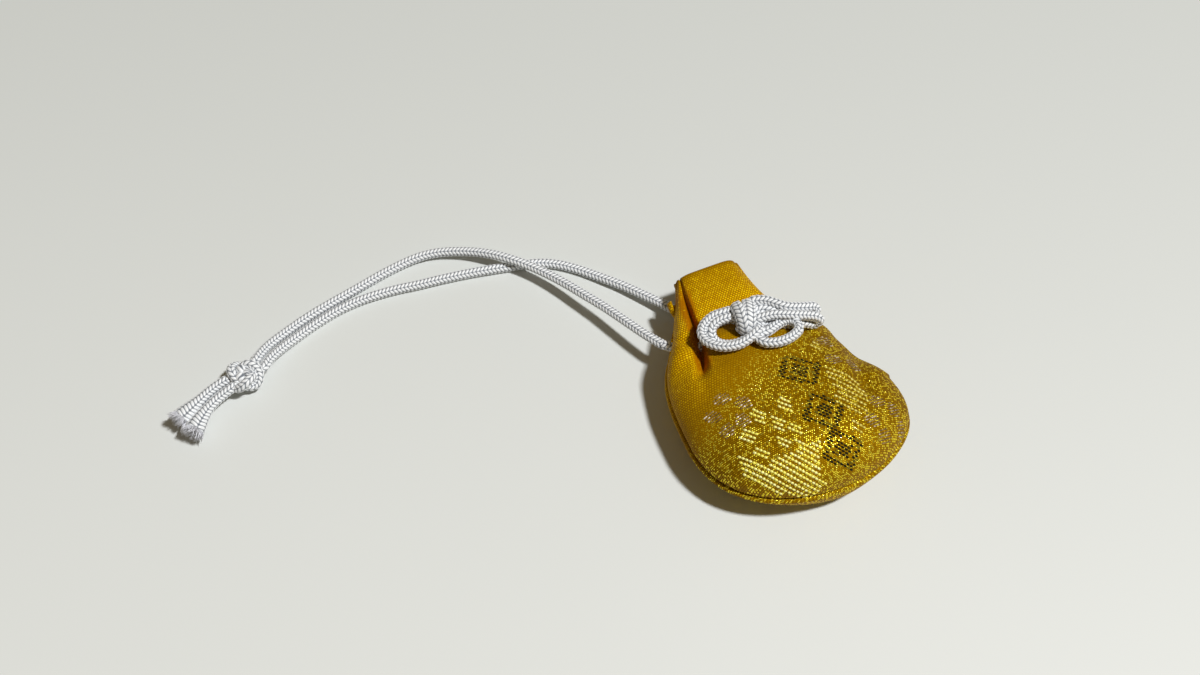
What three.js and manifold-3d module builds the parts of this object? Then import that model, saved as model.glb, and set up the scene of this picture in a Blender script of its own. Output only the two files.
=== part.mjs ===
// Drawstring money-pouch charm: two brocade panels, padding, a paper amulet and one white braided cord.
// Millimetres, +Z up. The pouch lies on its back panel, +Y runs from the bottom seam to the mouth.
import * as THREE from 'three';
import { mergeVertices } from 'three/addons/utils/BufferGeometryUtils.js';
import Module from 'manifold-3d';

const wasm = await Module();
wasm.setup();
const { Manifold, Mesh: SolidMesh } = wasm;

const bodyWidth = 41;
const bodyLength = 34.3;
const collarLength = 16.5;
const seamHeight = 7.5;
const frontRise = 8.6;
const backRise = 8.6;
const clothThickness = 0.8;
const seamGap = 0.9;
const threadDiameter = 0.5;
const cordDiameter = 1.9;
const clearance = 0.3;
const cordGroove = 1.5;
const slipWidth = 13;
const slipLength = 22;
const slipThickness = 1.2;
const paperThickness = 0.4;

const cordRadius = cordDiameter / 2;
const halfWidth = bodyWidth / 2;
const widestY = -0.51 * bodyLength;
const neckY = 0.277 * bodyLength;
const arcRows = 8;
const bottomShift = 0.1 * halfWidth;
const rightTaper = 0.055;

// Sections of the pouch from its widest line to the mouth. Columns: place along the pouch (share of the body
// below the neck, of the collar above it), left and right edge, height of the seam line, rise of the front and
// of the back, place of the left and right pleat, depth of the left and right pleat. Edges and pleats are shares
// of half the width, heights are shares of their largest, and a pleat's depth is a share of the rise there.
const sections = [
  [-0.51, 1.0, 1 - rightTaper, 1.0, 1.0, 1.0, 0.78, 0.6, 0.0, 0.0],
  [-0.362, 1.0, 0.81, 1.0, 0.985, 0.97, 0.78, 0.53, 0.0, 0.0],
  [-0.207, 0.98, 0.69, 1.0, 0.9, 0.82, 0.68, 0.43, 0.12, 0.1],
  [-0.083, 0.93, 0.59, 1.0, 0.72, 0.6, 0.575, 0.34, 0.48, 0.35],
  [0.0, 0.865, 0.495, 1.0, 0.57, 0.48, 0.53, 0.28, 0.7, 0.6],
  [0.18, 0.765, 0.4, 1.0, 0.52, 0.42, 0.5, 0.24, 0.68, 0.5],
  [0.5, 0.62, 0.27, 0.98, 0.41, 0.36, 0.455, 0.175, 0.6, 0.15],
  [0.8, 0.49, 0.205, 0.96, 0.32, 0.31, 0.41, 0.14, 0.5, 0.0],
  [1.0, 0.42, 0.185, 0.96, 0.28, 0.28, 0.38, 0.125, 0.45, 0.0],
];
const sectionY = sections.map(([f]) => f * (f < 0 ? bodyLength : collarLength));
const sectionValues = new Float32Array(sections.flatMap((row) => row.slice(1)));
const sectionCurve = new THREE.CubicInterpolant(new Float32Array(sectionY), sectionValues, 9);
const upperRows = [-0.51, -0.435, -0.352, -0.27, -0.197, -0.135, -0.088, -0.047, 0.0, 0.08, 0.16, 0.3, 0.46, 0.64,
  0.82, 1.0].map((f) => f * (f < 0 ? bodyLength : collarLength));
const flapColumns = 4;
const pleatColumns = 4;
const sideColumns = 4;
const halfColumns = flapColumns + pleatColumns + sideColumns;
const pleatHalfWidth = 1.3;
const tuckStart = 1;
const tuckLength = 4;

// Outline and heights of one row of the pouch, moved in by inset from the outside of the cloth.
function rowAt(index, inset) {
  if (index < arcRows) {
    const angle = (Math.PI / 2) * (1 - index / arcRows);
    const reach = bodyLength + widestY - inset;
    const share = Math.pow(Math.sin(angle), 0.8);
    const half = index === 0 ? 0 : (halfWidth - inset) * Math.cos(angle);
    const middle = bottomShift * share;
    const fullness = index === 0 ? 0 : Math.pow(Math.cos(angle), 0.75);
    const rightHalf = half * (1 - rightTaper * (1 - share) * (1 - share));
    return {
      y: widestY - reach * share, left: middle - half, right: middle + rightHalf, seam: seamHeight,
      front: frontRise * fullness, back: backRise * fullness,
      pleatLeft: middle - 0.78 * half, pleatRight: middle + 0.6 * half, leftDepth: 0, rightDepth: 0,
    };
  }
  const y = upperRows[index - arcRows];
  const [left, right, seam, front, back, pleatLeft, pleatRight, leftDepth, rightDepth] = sectionCurve.evaluate(y);
  return {
    y, left: inset - left * halfWidth, right: right * halfWidth - inset, seam: seam * seamHeight,
    front: front * frontRise, back: back * backRise,
    pleatLeft: -pleatLeft * halfWidth, pleatRight: pleatRight * halfWidth,
    leftDepth: Math.max(0, leftDepth), rightDepth: Math.max(0, rightDepth),
  };
}

// Place across a row: flap, pleat and side fold each keep their own columns on both sides.
function acrossAt(row, column) {
  const side = column < halfColumns ? -1 : 1;
  const step = Math.abs(column - halfColumns);
  const edge = side < 0 ? row.left : row.right;
  const pleat = side < 0 ? row.pleatLeft : row.pleatRight;
  const middle = (row.left + row.right) / 2;
  const groove = Math.min(pleatHalfWidth, 0.3 * Math.abs(edge - pleat));
  if (step <= flapColumns) {
    return THREE.MathUtils.lerp(middle, pleat - side * groove, step / flapColumns);
  }
  if (step <= flapColumns + pleatColumns) {
    return THREE.MathUtils.lerp(pleat - side * groove, pleat + side * groove, (step - flapColumns) / pleatColumns);
  }
  return THREE.MathUtils.lerp(pleat + side * groove, edge, (step - flapColumns - pleatColumns) / sideColumns);
}

// Point of the front (face 1) or back (face -1) panel, on the outside for inset 0 or further in.
function panelPoint(face, index, column, inset) {
  const row = rowAt(index, inset);
  const x = acrossAt(row, column);
  const middle = (row.left + row.right) / 2;
  const reach = x < middle ? middle - row.left : row.right - middle;
  const share = reach > 0 ? Math.min(1, Math.abs(x - middle) / reach) : 0;
  const crown = Math.pow(Math.max(0, 1 - Math.pow(share, 2.4)), 0.6);
  const pleat = x < middle ? row.pleatLeft : row.pleatRight;
  const depth = x < middle ? row.leftDepth : row.rightDepth;
  const groove = Math.min(pleatHalfWidth, 0.3 * (reach - Math.abs(pleat - middle)));
  const pleatShare = groove > 0 ? Math.max(0, 1 - Math.abs(x - pleat) / groove) : 0;
  const cordShare = Math.exp(-Math.pow(row.y / (1.3 * cordDiameter), 4));
  // Above the neck the side folds are tucked in between the flaps, so the cloth fills the collar.
  const hollow = inset > 0 ? 1 - THREE.MathUtils.smoothstep(row.y, tuckStart, tuckStart + tuckLength) : 1;
  const rise = hollow * Math.max(0, (face > 0 ? row.front : row.back) - inset) * crown;
  if (face > 0) {
    const flap = hollow * cordShare * cordGroove * (1 - Math.pow(share, 4));
    const pleated = rise * (1 - depth * pleatShare) - flap * (1 - pleatShare);
    return new THREE.Vector3(x, row.y + neckY, row.seam + seamGap / 2 + pleated);
  }
  return new THREE.Vector3(x, row.y + neckY, Math.max(row.seam - seamGap / 2 - rise, inset));
}

function solidOf(positions, triangles) {
  const geometry = new THREE.BufferGeometry();
  geometry.setAttribute('position', new THREE.Float32BufferAttribute(positions, 3));
  geometry.setIndex(triangles);
  return geometry;
}

// Closed shell between two grids of points that share their edges.
function shellBetween(outer, inner, flip) {
  const rows = outer.length;
  const columns = outer[0].length;
  const positions = [];
  const triangles = [];
  for (const grid of [outer, inner]) {
    grid.forEach((row) => row.forEach((point) => positions.push(point.x, point.y, point.z)));
  }
  const vertex = (layer, i, j) => layer * rows * columns + i * columns + j;
  const quad = (a, b, c, d) => {
    const order = flip ? [a, c, b, a, d, c] : [a, b, c, a, c, d];
    triangles.push(...order);
  };
  for (let i = 0; i + 1 < rows; i += 1) {
    for (let j = 0; j + 1 < columns; j += 1) {
      quad(vertex(0, i, j), vertex(0, i, j + 1), vertex(0, i + 1, j + 1), vertex(0, i + 1, j));
      quad(vertex(1, i, j), vertex(1, i + 1, j), vertex(1, i + 1, j + 1), vertex(1, i, j + 1));
    }
    quad(vertex(0, i, 0), vertex(0, i + 1, 0), vertex(1, i + 1, 0), vertex(1, i, 0));
    quad(vertex(0, i, columns - 1), vertex(1, i, columns - 1), vertex(1, i + 1, columns - 1),
      vertex(0, i + 1, columns - 1));
  }
  for (let j = 0; j + 1 < columns; j += 1) {
    quad(vertex(0, rows - 1, j), vertex(0, rows - 1, j + 1), vertex(1, rows - 1, j + 1), vertex(1, rows - 1, j));
    quad(vertex(0, 0, j), vertex(1, 0, j), vertex(1, 0, j + 1), vertex(0, 0, j + 1));
  }
  return withoutSlivers(mergeVertices(solidOf(positions, triangles), 1e-4));
}

function withoutSlivers(geometry) {
  const source = geometry.index.array;
  const kept = [];
  for (let i = 0; i < source.length; i += 3) {
    const [a, b, c] = [source[i], source[i + 1], source[i + 2]];
    if (a !== b && b !== c && a !== c) {
      kept.push(a, b, c);
    }
  }
  geometry.setIndex(kept);
  return geometry;
}

function toManifold(geometry) {
  const bare = new THREE.BufferGeometry();
  bare.setAttribute('position', geometry.attributes.position);
  bare.setIndex(geometry.index);
  const merged = withoutSlivers(mergeVertices(bare, 1e-4));
  return new Manifold(new SolidMesh({
    numProp: 3,
    vertProperties: new Float32Array(merged.attributes.position.array),
    triVerts: new Uint32Array(merged.index.array),
  }));
}

function fromManifold(solid) {
  const mesh = solid.getMesh();
  return solidOf(Array.from(mesh.vertProperties), Array.from(mesh.triVerts));
}

function pathThrough(points) {
  return new THREE.CatmullRomCurve3(points.map((p) => new THREE.Vector3(...p)), false, 'centripetal');
}

function tube(points, radius, steps, sides = 8) {
  const circle = new THREE.Shape().absarc(0, 0, radius, 0, 2 * Math.PI);
  return new THREE.ExtrudeGeometry(circle, {
    steps, curveSegments: sides / 2, bevelEnabled: false, extrudePath: pathThrough(points),
  });
}

// Cord whose ends are rounded where they turn in a joint or stand against another stretch.
function roundedCord(points, steps, ends) {
  let solid = toManifold(tube(points, cordRadius, steps));
  for (const end of ends) {
    const ball = new THREE.SphereGeometry(cordRadius, 8, 5);
    ball.translate(...end);
    solid = solid.add(toManifold(ball));
  }
  return fromManifold(solid);
}

const charm = new THREE.Group();
charm.name = 'omamori_charm';

function add(name, geometry, color, roughness) {
  const material = new THREE.MeshStandardMaterial({ color, roughness, metalness: 0 });
  const mesh = new THREE.Mesh(geometry, material);
  mesh.name = name;
  charm.add(mesh);
  return mesh;
}

const gold = 0xd9a62e;
const white = 0xf0efea;
const rowCount = arcRows + upperRows.length;
const columnCount = 2 * halfColumns + 1;

function panelGrid(face, inset) {
  return Array.from({ length: rowCount }, (_, i) => (
    Array.from({ length: columnCount }, (__, j) => panelPoint(face, i, j, inset))));
}

// Knot and cord routes. The flap of the neck carries the knot, and the cord runs in a groove beside it.
const flapTop = seamHeight + seamGap / 2 + 0.57 * frontRise;
const wrapAcross = 1.4 + clearance + cordRadius;
const wrapHigh = 0.75 + clearance + cordRadius;
const knot = new THREE.Vector3(-2, neckY - 0.3, flapTop + 2.2 * clearance + cordRadius + wrapHigh);
const knotTurn = THREE.MathUtils.degToRad(-14);
const wrapSpacing = cordDiameter + 0.6;
const wrapMiddle = 0.4;
const wrapSide = wrapSpacing / 2 + cordRadius;
const grooveZ = flapTop - cordGroove + clearance + cordRadius;
const earX = wrapSide + clearance + cordRadius;

// Point given across, along and above the knot's own middle.
function atKnot([across, along, above]) {
  const point = new THREE.Vector3(across, along, above);
  point.applyAxisAngle(new THREE.Vector3(0, 0, 1), knotTurn).add(knot);
  return point.toArray();
}

const neckLeft = [
  [knot.x - wrapSide - 0.5, neckY + 0.2, grooveZ],
  [-7.0, neckY, grooveZ],
  [-8.9, neckY, grooveZ - 0.4],
  [-10.2, neckY + 0.3, grooveZ - 1.6],
  [-11.2, neckY + 0.9, grooveZ - 2.9],
  [-12.4, neckY + 2.0, 8.0],
  [-13.8, neckY + 3.4, 7.4],
  [-15.25, neckY + 4.9, 7.03],
];
const neckRight = [
  [knot.x + wrapSide + 0.5, neckY - 0.6, grooveZ],
  [2.6, neckY - 0.4, grooveZ],
  [4.4, neckY - 0.1, grooveZ - 0.4],
  [5.7, neckY + 0.2, grooveZ - 1.7],
  [6.7, neckY + 0.5, grooveZ - 3.0],
  [7.9, neckY + 0.9, 8.0],
  [9.2, neckY + 1.2, 7.5],
  [10.6, neckY + 1.5, 6.7],
  [11.5, neckY + 1.7, 5.2],
  [11.3, neckY + 1.9, 3.5],
  [9.9, neckY + 2.2, 2.2],
  [7.2, neckY + 2.8, 1.6],
  [3.4, neckY + 4.0, 1.5],
  [-1.0, neckY + 6.2, 1.5],
  [-4.8, neckY + 9.2, 1.7],
  [-7.8, neckY + 12.2, 2.0],
  [-9.4, neckY + 13.8, 2.25],
];
const slotLeft = toManifold(tube(
  [[neckLeft[0][0] + 0.6, neckLeft[0][1], grooveZ], ...neckLeft], cordRadius + clearance, 26, 10));
const slotRight = toManifold(tube(
  [[neckRight[0][0] - 0.6, neckRight[0][1], grooveZ], ...neckRight.slice(0, 10)], cordRadius + clearance, 26, 10));

const frontShell = toManifold(shellBetween(panelGrid(1, 0), panelGrid(1, clothThickness), false));
const backShell = toManifold(shellBetween(panelGrid(-1, 0), panelGrid(-1, clothThickness), true));
add('front_panel', fromManifold(frontShell.subtract(slotLeft).subtract(slotRight)), gold, 0.6);
add('back_panel', fromManifold(backShell.subtract(slotLeft).subtract(slotRight)), gold, 0.6);

// Thread of the side and bottom seam, in the middle of the gap between the panels.
const seamRows = arcRows + 6;
const seamPoint = (index, side) => {
  const row = rowAt(index, clothThickness / 2);
  return [side < 0 ? row.left : row.right, row.y + neckY, row.seam];
};
const seamRoute = [];
for (let i = seamRows; i > 0; i -= 1) {
  seamRoute.push(seamPoint(i, -1));
}
for (let i = 0; i <= seamRows; i += 1) {
  seamRoute.push(seamPoint(i, 1));
}
add('seam_thread', tube(seamRoute, threadDiameter / 2, 72, 6), 0xc9952a, 0.7);

// Padding above and below the wrapped slip, kept clear of the cloth.
const wrapperThickness = slipThickness + 2 * paperThickness + 2 * clearance;
const padBase = wrapperThickness / 2 + clearance;
const padRows = arcRows + 6;

function padGrid(face, flat) {
  const inset = clothThickness + 1.9;
  return Array.from({ length: padRows }, (_, i) => (
    Array.from({ length: halfColumns + 1 }, (__, j) => {
      const point = panelPoint(face, i, 2 * j, inset);
      const outside = Math.abs(point.z - seamHeight) - seamGap / 2;
      const rise = flat ? 0 : Math.max(0.1, outside - padBase + 0.7);
      point.z = seamHeight + face * (padBase + rise);
      return point;
    })));
}

add('front_wadding', shellBetween(padGrid(1, false), padGrid(1, true), false), 0xf3f1ea, 0.95);
add('back_wadding', shellBetween(padGrid(-1, false), padGrid(-1, true), true), 0xf3f1ea, 0.95);

// Amulet slip in a folded paper wrapper that is open at the top.
const slipY = neckY + widestY;
const slip = new THREE.BoxGeometry(slipWidth, slipLength, slipThickness);
slip.translate(0, slipY, seamHeight);
const foldOver = 2 * (paperThickness + clearance);
const wrapperBox = new THREE.BoxGeometry(slipWidth + foldOver, slipLength + foldOver, wrapperThickness);
wrapperBox.translate(0, slipY, seamHeight);
const wrapperHole = new THREE.BoxGeometry(
  slipWidth + 2 * clearance, slipLength + 2 * clearance + 2 * paperThickness, slipThickness + 2 * clearance);
wrapperHole.translate(0, slipY + paperThickness, seamHeight);
add('slip_wrapper', fromManifold(toManifold(wrapperBox).subtract(toManifold(wrapperHole))), 0xf7f4ea, 0.9);
add('amulet_slip', slip, 0xe9d9b4, 0.85);

add('neck_cord_left', tube(neckLeft, cordRadius, 18), white, 0.5);
add('neck_cord_right', tube(neckRight, cordRadius, 34), white, 0.5);

// Core of the knot with the wrap, two turns of one cord that cross over on the underside.
const core = new THREE.CylinderGeometry(1, 1, 2 * wrapSide, 14);
core.rotateZ(Math.PI / 2);
core.scale(1, 1.4, 0.75);
core.translate(0, wrapMiddle, 0);
core.rotateZ(knotTurn);
core.translate(knot.x, knot.y, knot.z);
add('knot_core', core, white, 0.5);

const wrapRoute = [];
const wrapSteps = 32;
for (let i = 0; i <= wrapSteps; i += 1) {
  const turn = 0.23 + 1.54 * (i / wrapSteps);
  const angle = 2 * Math.PI * turn;
  const shift = THREE.MathUtils.smoothstep(turn, 0.72, 1.28) - 0.5;
  const along = wrapMiddle - wrapAcross * Math.sin(angle);
  wrapRoute.push(atKnot([wrapSpacing * shift, along, -wrapHigh * Math.cos(angle)]));
}
add('knot_wrap', tube(wrapRoute, cordRadius, 34), white, 0.5);

// Least distance of the wrap's route to itself, past a stretch of three cord widths along it.
const wrapSamples = pathThrough(wrapRoute).getSpacedPoints(160);
const sampleStep = pathThrough(wrapRoute).getLength() / 160;
let wrapGap = Infinity;
wrapSamples.forEach((a, i) => wrapSamples.forEach((b, j) => {
  if ((j - i) * sampleStep > 3 * cordDiameter) {
    wrapGap = Math.min(wrapGap, a.distanceTo(b) - cordDiameter);
  }
}));
console.log(`knot_wrap least gap to itself ${wrapGap.toFixed(2)} mm`);

// Ears of the bow. Each stretch starts and ends on or under its own turning line at the knot.
const leftOuter = [
  [-earX, 2.3, 0],
  [-4.5, 2.15, -0.05],
  [-5.9, 1.8, -0.26],
  [-7.4, 0.95, -0.45],
  [-8.4, -0.25, -0.55],
  [-8.8, -1.6, -0.55],
  [-8.3, -3.0, -0.4],
  [-7.2, -4.2, -0.1],
  [-5.9, -4.95, 0.05],
  [-4.7, -5.25, 0.05],
  [-earX, -5.3, 0],
].map(atKnot);
const leftInner = [
  [-earX, 0, 0],
  [-4.9, -0.25, -0.5],
  [-6.1, -0.9, -1.0],
  [-6.5, -1.9, -1.35],
  [-6.1, -2.75, -1.55],
  [-5.2, -2.9, -1.6],
  [-4.6, -2.1, -1.6],
].map(atKnot);
add('left_ear_outer', roundedCord(leftOuter, 22, [leftOuter[0], leftOuter[10]]), white, 0.5);
add('left_ear_inner', roundedCord(leftInner, 18, [leftInner[0], leftInner[6]]), white, 0.5);

const rightRear = [
  [earX, 2.7, 0],
  [5.5, 2.35, 0.65],
  [7.2, 1.65, 0.8],
  [9.2, 1.3, 0.55],
  [11.2, 1.3, -0.1],
  [12.6, 1.35, -0.9],
  [13.3, 1.35, -1.9],
  [12.3, 1.3, -2.9],
  [10.0, 1.3, -1.8],
  [7.4, 1.5, -1.45],
  [5.3, 2.2, -1.5],
].map(atKnot);
const rightFront = [
  [earX, -0.45, 0],
  [5.2, -0.6, 0.7],
  [7.2, -0.85, 0.85],
  [9.2, -1.0, 0.6],
  [11.2, -1.0, -0.05],
  [12.7, -1.0, -0.85],
  [13.4, -1.0, -1.9],
  [12.4, -1.0, -2.9],
  [10.0, -1.0, -1.8],
  [7.4, -0.9, -1.45],
  [5.3, -0.5, -1.5],
].map(atKnot);
add('right_ear_rear', roundedCord(rightRear, 26, [rightRear[0], rightRear[10]]), white, 0.5);
add('right_ear_front', roundedCord(rightFront, 26, [rightFront[0], rightFront[10]]), white, 0.5);

const lowerRoute = [
  [-1.2, -5.0, 0.1],
  [0.4, -4.9, 0.45],
  [2.0, -5.6, 0.75],
  [3.8, -6.1, 0.95],
  [5.7, -5.85, 0.95],
  [7.5, -5.15, 0.75],
  [8.65, -4.25, 0.4],
  [8.9, -3.2, 0.1],
].map(atKnot);
add('lower_ear', roundedCord(lowerRoute, 22, [lowerRoute[0], lowerRoute[7]]), white, 0.5);

// Free strap: one strand leaves the left side seam, the other comes out under the collar. They cross once
// and run side by side to the end knot.
const strandFront = [
  [-16.1, 15.3, 6.8],
  [-18.0, 18.8, 6.2],
  [-20.2, 23.3, 5.6],
  [-22.4, 27.8, 5.0],
  [-25.0, 32.5, 4.4],
  [-27.2, 36.4, 3.9],
  [-29.6, 40.1, 3.5],
  [-32.2, 43.4, 3.3],
  [-35.2, 46.4, 3.3],
  [-38.3, 49.2, 2.9],
  [-42.5, 52.1, 2.1],
  [-47.6, 54.3, 1.5],
  [-51.7, 54.9, 1.2],
  [-55.9, 54.6, 1.0],
  [-60.3, 53.8, 1.0],
  [-65.0, 52.7, 1.0],
  [-71.0, 51.4, 1.0],
  [-75.7, 50.2, 1.0],
  [-80.1, 48.7, 1.1],
  [-84.7, 46.5, 1.8],
  [-86.9, 44.6, 2.7],
  [-87.85, 43.5, 3.1],
];
const strandRear = [
  [-10.1, 24.3, 2.3],
  [-12.1, 27.3, 2.0],
  [-14.3, 30.3, 1.7],
  [-16.6, 33.3, 1.4],
  [-19.0, 36.0, 1.2],
  [-21.4, 38.6, 1.0],
  [-23.9, 41.0, 1.0],
  [-26.7, 43.1, 1.0],
  [-29.7, 44.6, 1.0],
  [-35.1, 46.0, 1.0],
  [-39.3, 46.9, 1.0],
  [-44.1, 47.8, 1.0],
  [-49.1, 48.5, 1.0],
  [-53.5, 49.0, 1.0],
  [-57.7, 49.6, 1.0],
  [-61.6, 49.9, 1.0],
  [-65.7, 49.9, 1.0],
  [-69.9, 49.4, 1.0],
  [-74.2, 48.3, 1.0],
  [-78.6, 46.8, 1.1],
  [-82.7, 44.9, 1.8],
  [-85.4, 43.0, 2.7],
  [-86.95, 41.5, 3.1],
];
add('strap_strand_front', roundedCord(strandFront, 44, [strandFront[0]]), white, 0.5);
add('strap_strand_rear', roundedCord(strandRear, 42, [strandRear[0]]), white, 0.5);

// Overhand knot of both strands, drawn tight: two turns over a core that the strands run into.
const endKnot = new THREE.Vector3(-90.8, 41.0, 3.3);
const endAim = new THREE.Vector3(-0.95, -0.31, 0).normalize();
const turnRadius = 2.05;
const endKnotParts = [-1.05, 1.05].map((offset) => {
  const ring = new THREE.TorusGeometry(turnRadius, 1.2, 10, 22);
  ring.rotateX(0.3);
  ring.rotateY(Math.PI / 2);
  ring.translate(offset, 0, 0);
  return ring;
});
const endCore = new THREE.SphereGeometry(1, 14, 10);
endCore.scale(3.2, 2.4, 2.4);
let endSolid = toManifold(endCore);
for (const part of endKnotParts) {
  endSolid = endSolid.add(toManifold(part));
}
const endGeometry = fromManifold(endSolid);
endGeometry.rotateZ(Math.atan2(endAim.y, endAim.x));
endGeometry.translate(endKnot.x, endKnot.y, endKnot.z);
add('end_knot', endGeometry, white, 0.5);

// Cut tails, side by side, each spread out towards its end.
const tailFlareRadius = 1.7;
const tailFlareLength = 5.0;
const flareLap = 0.4;
function tail(route, aim) {
  const start = new THREE.Vector3(...route[route.length - 1]);
  const flare = new THREE.CylinderGeometry(tailFlareRadius, cordRadius, tailFlareLength, 12);
  flare.translate(0, tailFlareLength / 2 - flareLap, 0);
  flare.applyQuaternion(new THREE.Quaternion().setFromUnitVectors(new THREE.Vector3(0, 1, 0), aim));
  flare.translate(start.x, start.y, start.z);
  return fromManifold(toManifold(tube(route, cordRadius, 8)).add(toManifold(flare)));
}
const tailFront = [
  [-94.6, 41.4, 3.2],
  [-96.5, 40.95, 3.0],
  [-98.5, 40.15, 3.0],
  [-100.6, 39.0, 3.1],
];
const tailRear = [
  [-93.9, 39.1, 3.2],
  [-95.8, 38.6, 3.0],
  [-97.7, 37.7, 3.0],
  [-99.4, 36.5, 3.1],
];
add('tail_front', tail(tailFront, new THREE.Vector3(-0.86, -0.5, 0.05).normalize()), white, 0.55);
add('tail_rear', tail(tailRear, new THREE.Vector3(-0.73, -0.68, 0.05).normalize()), white, 0.55);

export default charm;
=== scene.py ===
import math

import bmesh
import bpy
import numpy as np
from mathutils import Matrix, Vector


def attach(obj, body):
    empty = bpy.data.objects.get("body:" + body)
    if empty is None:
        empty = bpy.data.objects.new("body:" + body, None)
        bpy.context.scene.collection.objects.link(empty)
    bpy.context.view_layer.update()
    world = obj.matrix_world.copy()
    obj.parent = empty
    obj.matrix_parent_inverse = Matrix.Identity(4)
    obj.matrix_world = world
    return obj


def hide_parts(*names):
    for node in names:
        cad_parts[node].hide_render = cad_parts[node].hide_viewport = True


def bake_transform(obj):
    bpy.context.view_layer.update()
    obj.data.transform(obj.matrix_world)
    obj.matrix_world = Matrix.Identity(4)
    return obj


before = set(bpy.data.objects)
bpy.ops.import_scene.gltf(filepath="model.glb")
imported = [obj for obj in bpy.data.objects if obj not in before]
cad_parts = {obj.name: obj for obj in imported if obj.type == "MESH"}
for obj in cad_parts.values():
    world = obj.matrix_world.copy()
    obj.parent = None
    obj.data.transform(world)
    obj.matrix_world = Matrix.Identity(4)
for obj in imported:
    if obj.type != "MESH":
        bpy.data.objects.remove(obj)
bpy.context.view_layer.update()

# Camera: a hand-held view from the foot of the pouch and a little to its left, sixty degrees above the
# table, with the pouch right of the middle and the strap running off to the left.
CAMERA_PLACE = (-0.08657, -0.12419, 0.27937)
CAMERA_AIM = (-0.0264, 0.02107, 0.00704)
camera = bpy.data.objects.new("camera", bpy.data.cameras.new("camera"))
camera.data.lens = 50
camera.data.sensor_width = 36
camera.data.clip_start = 0.01
camera.location = CAMERA_PLACE
camera.rotation_euler = (Vector(CAMERA_AIM) - Vector(CAMERA_PLACE)).to_track_quat("-Z", "Y").to_euler()
bpy.context.scene.collection.objects.link(camera)
bpy.context.scene.camera = camera

# Amulet slip: a thin planed board of pale cypress, cut along the grain, that lies in the middle of the pouch.
# It is loose in its paper, so nothing fixes it.


class Shade:
    """A socket of a material. Sums on it add Math nodes, and node() adds any other kind."""

    def __init__(self, tree, socket):
        self.tree = tree
        self.socket = socket

    def node(self, kind, sockets, out=0, **settings):
        made = self.tree.nodes.new(kind)
        for name, value in settings.items():
            setattr(made, name, value)
        for key, value in sockets.items():
            if isinstance(value, Shade):
                self.tree.links.new(value.socket, made.inputs[key])
            else:
                made.inputs[key].default_value = value
        return Shade(self.tree, made.outputs[out])

    def maths(self, operation, first, second=0.0):
        return self.node("ShaderNodeMath", {0: first, 1: second}, operation=operation)

    def __add__(self, other):
        return self.maths("ADD", self, other)

    def __radd__(self, other):
        return self.maths("ADD", other, self)

    def __sub__(self, other):
        return self.maths("SUBTRACT", self, other)

    def __rsub__(self, other):
        return self.maths("SUBTRACT", other, self)

    def __mul__(self, other):
        return self.maths("MULTIPLY", self, other)

    def __rmul__(self, other):
        return self.maths("MULTIPLY", other, self)

    def __truediv__(self, other):
        return self.maths("DIVIDE", self, other)

    def __mod__(self, other):
        return self.maths("FLOORED_MODULO", self, other)

    def floor(self):
        return self.maths("FLOOR", self)

    def fract(self):
        return self.maths("FRACT", self)

    def wave(self):
        """Sine of this value, brought to 0 to 1."""
        return self.maths("SINE", self) * 0.5 + 0.5

    def between(self, low, high):
        """0 below low, 1 above high and a smooth step from one to the other."""
        return self.node("ShaderNodeMapRange", {"Value": self, "From Min": low, "From Max": high},
                         interpolation_type="SMOOTHSTEP")

    def tint(self, low, high):
        """Colour that goes from low to high as this value goes from 0 to 1."""
        ends = {key: end if isinstance(end, Shade) else (*end, 1) for key, end in ((6, low), (7, high))}
        return self.node("ShaderNodeMix", {0: self, **ends}, out=2, data_type="RGBA")

    def part(self, axis):
        return self.node("ShaderNodeSeparateXYZ", {"Vector": self}, out=axis)

    def noise(self, scale, **sockets):
        return self.node("ShaderNodeTexNoise", {"Vector": self, "Scale": scale, **sockets})

    def mark(self, name):
        """Number that is stored at each point of a piece."""
        return self.node("ShaderNodeAttribute", {}, out=2, attribute_name=name)


def new_finish(name, coords="object", **constants):
    """A material, its coordinates as a Shade and a function that feeds its shader's sockets."""
    material = bpy.data.materials.new(name)
    material.use_nodes = True
    tree = material.node_tree
    shader = tree.nodes["Principled BSDF"]
    for key, value in constants.items():
        shader.inputs[key.replace("_", " ")].default_value = value
    start = Shade(tree, None)
    if coords == "object":
        place = start.node("ShaderNodeTexCoord", {}, out=3)
    else:
        place = start.node("ShaderNodeUVMap", {}, uv_map=coords)

    def feed(height=None, strength=0.5, depth=0.0001, **sockets):
        for key, value in sockets.items():
            tree.links.new(value.socket, shader.inputs[key.replace("_", " ")])
        if height:
            bump = start.node("ShaderNodeBump", {"Strength": strength, "Distance": depth, "Height": height})
            tree.links.new(bump.socket, shader.inputs["Normal"])

    return material, place, feed


def dress(name, material):
    """Gives one of the solids from model.glb its finish."""
    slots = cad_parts[name].data.materials
    slots.clear()
    slots.append(material)


cypress, place, feed = new_finish("cypress_wood", Roughness=0.62)
stretched = place.node("ShaderNodeMapping", {"Vector": place, "Scale": (1, 0.08, 1)})
rings = (stretched.part(0) * 2400 + stretched.noise(260) * 9).wave()
pores = stretched.noise(5200)
feed(Base_Color=(rings * 0.7 + pores * 0.3).tint((0.55, 0.37, 0.19), (0.74, 0.56, 0.34)),
     Roughness=0.5 + pores * 0.25, height=rings * 0.5 + pores, strength=0.3)
dress("amulet_slip", cypress)

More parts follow.
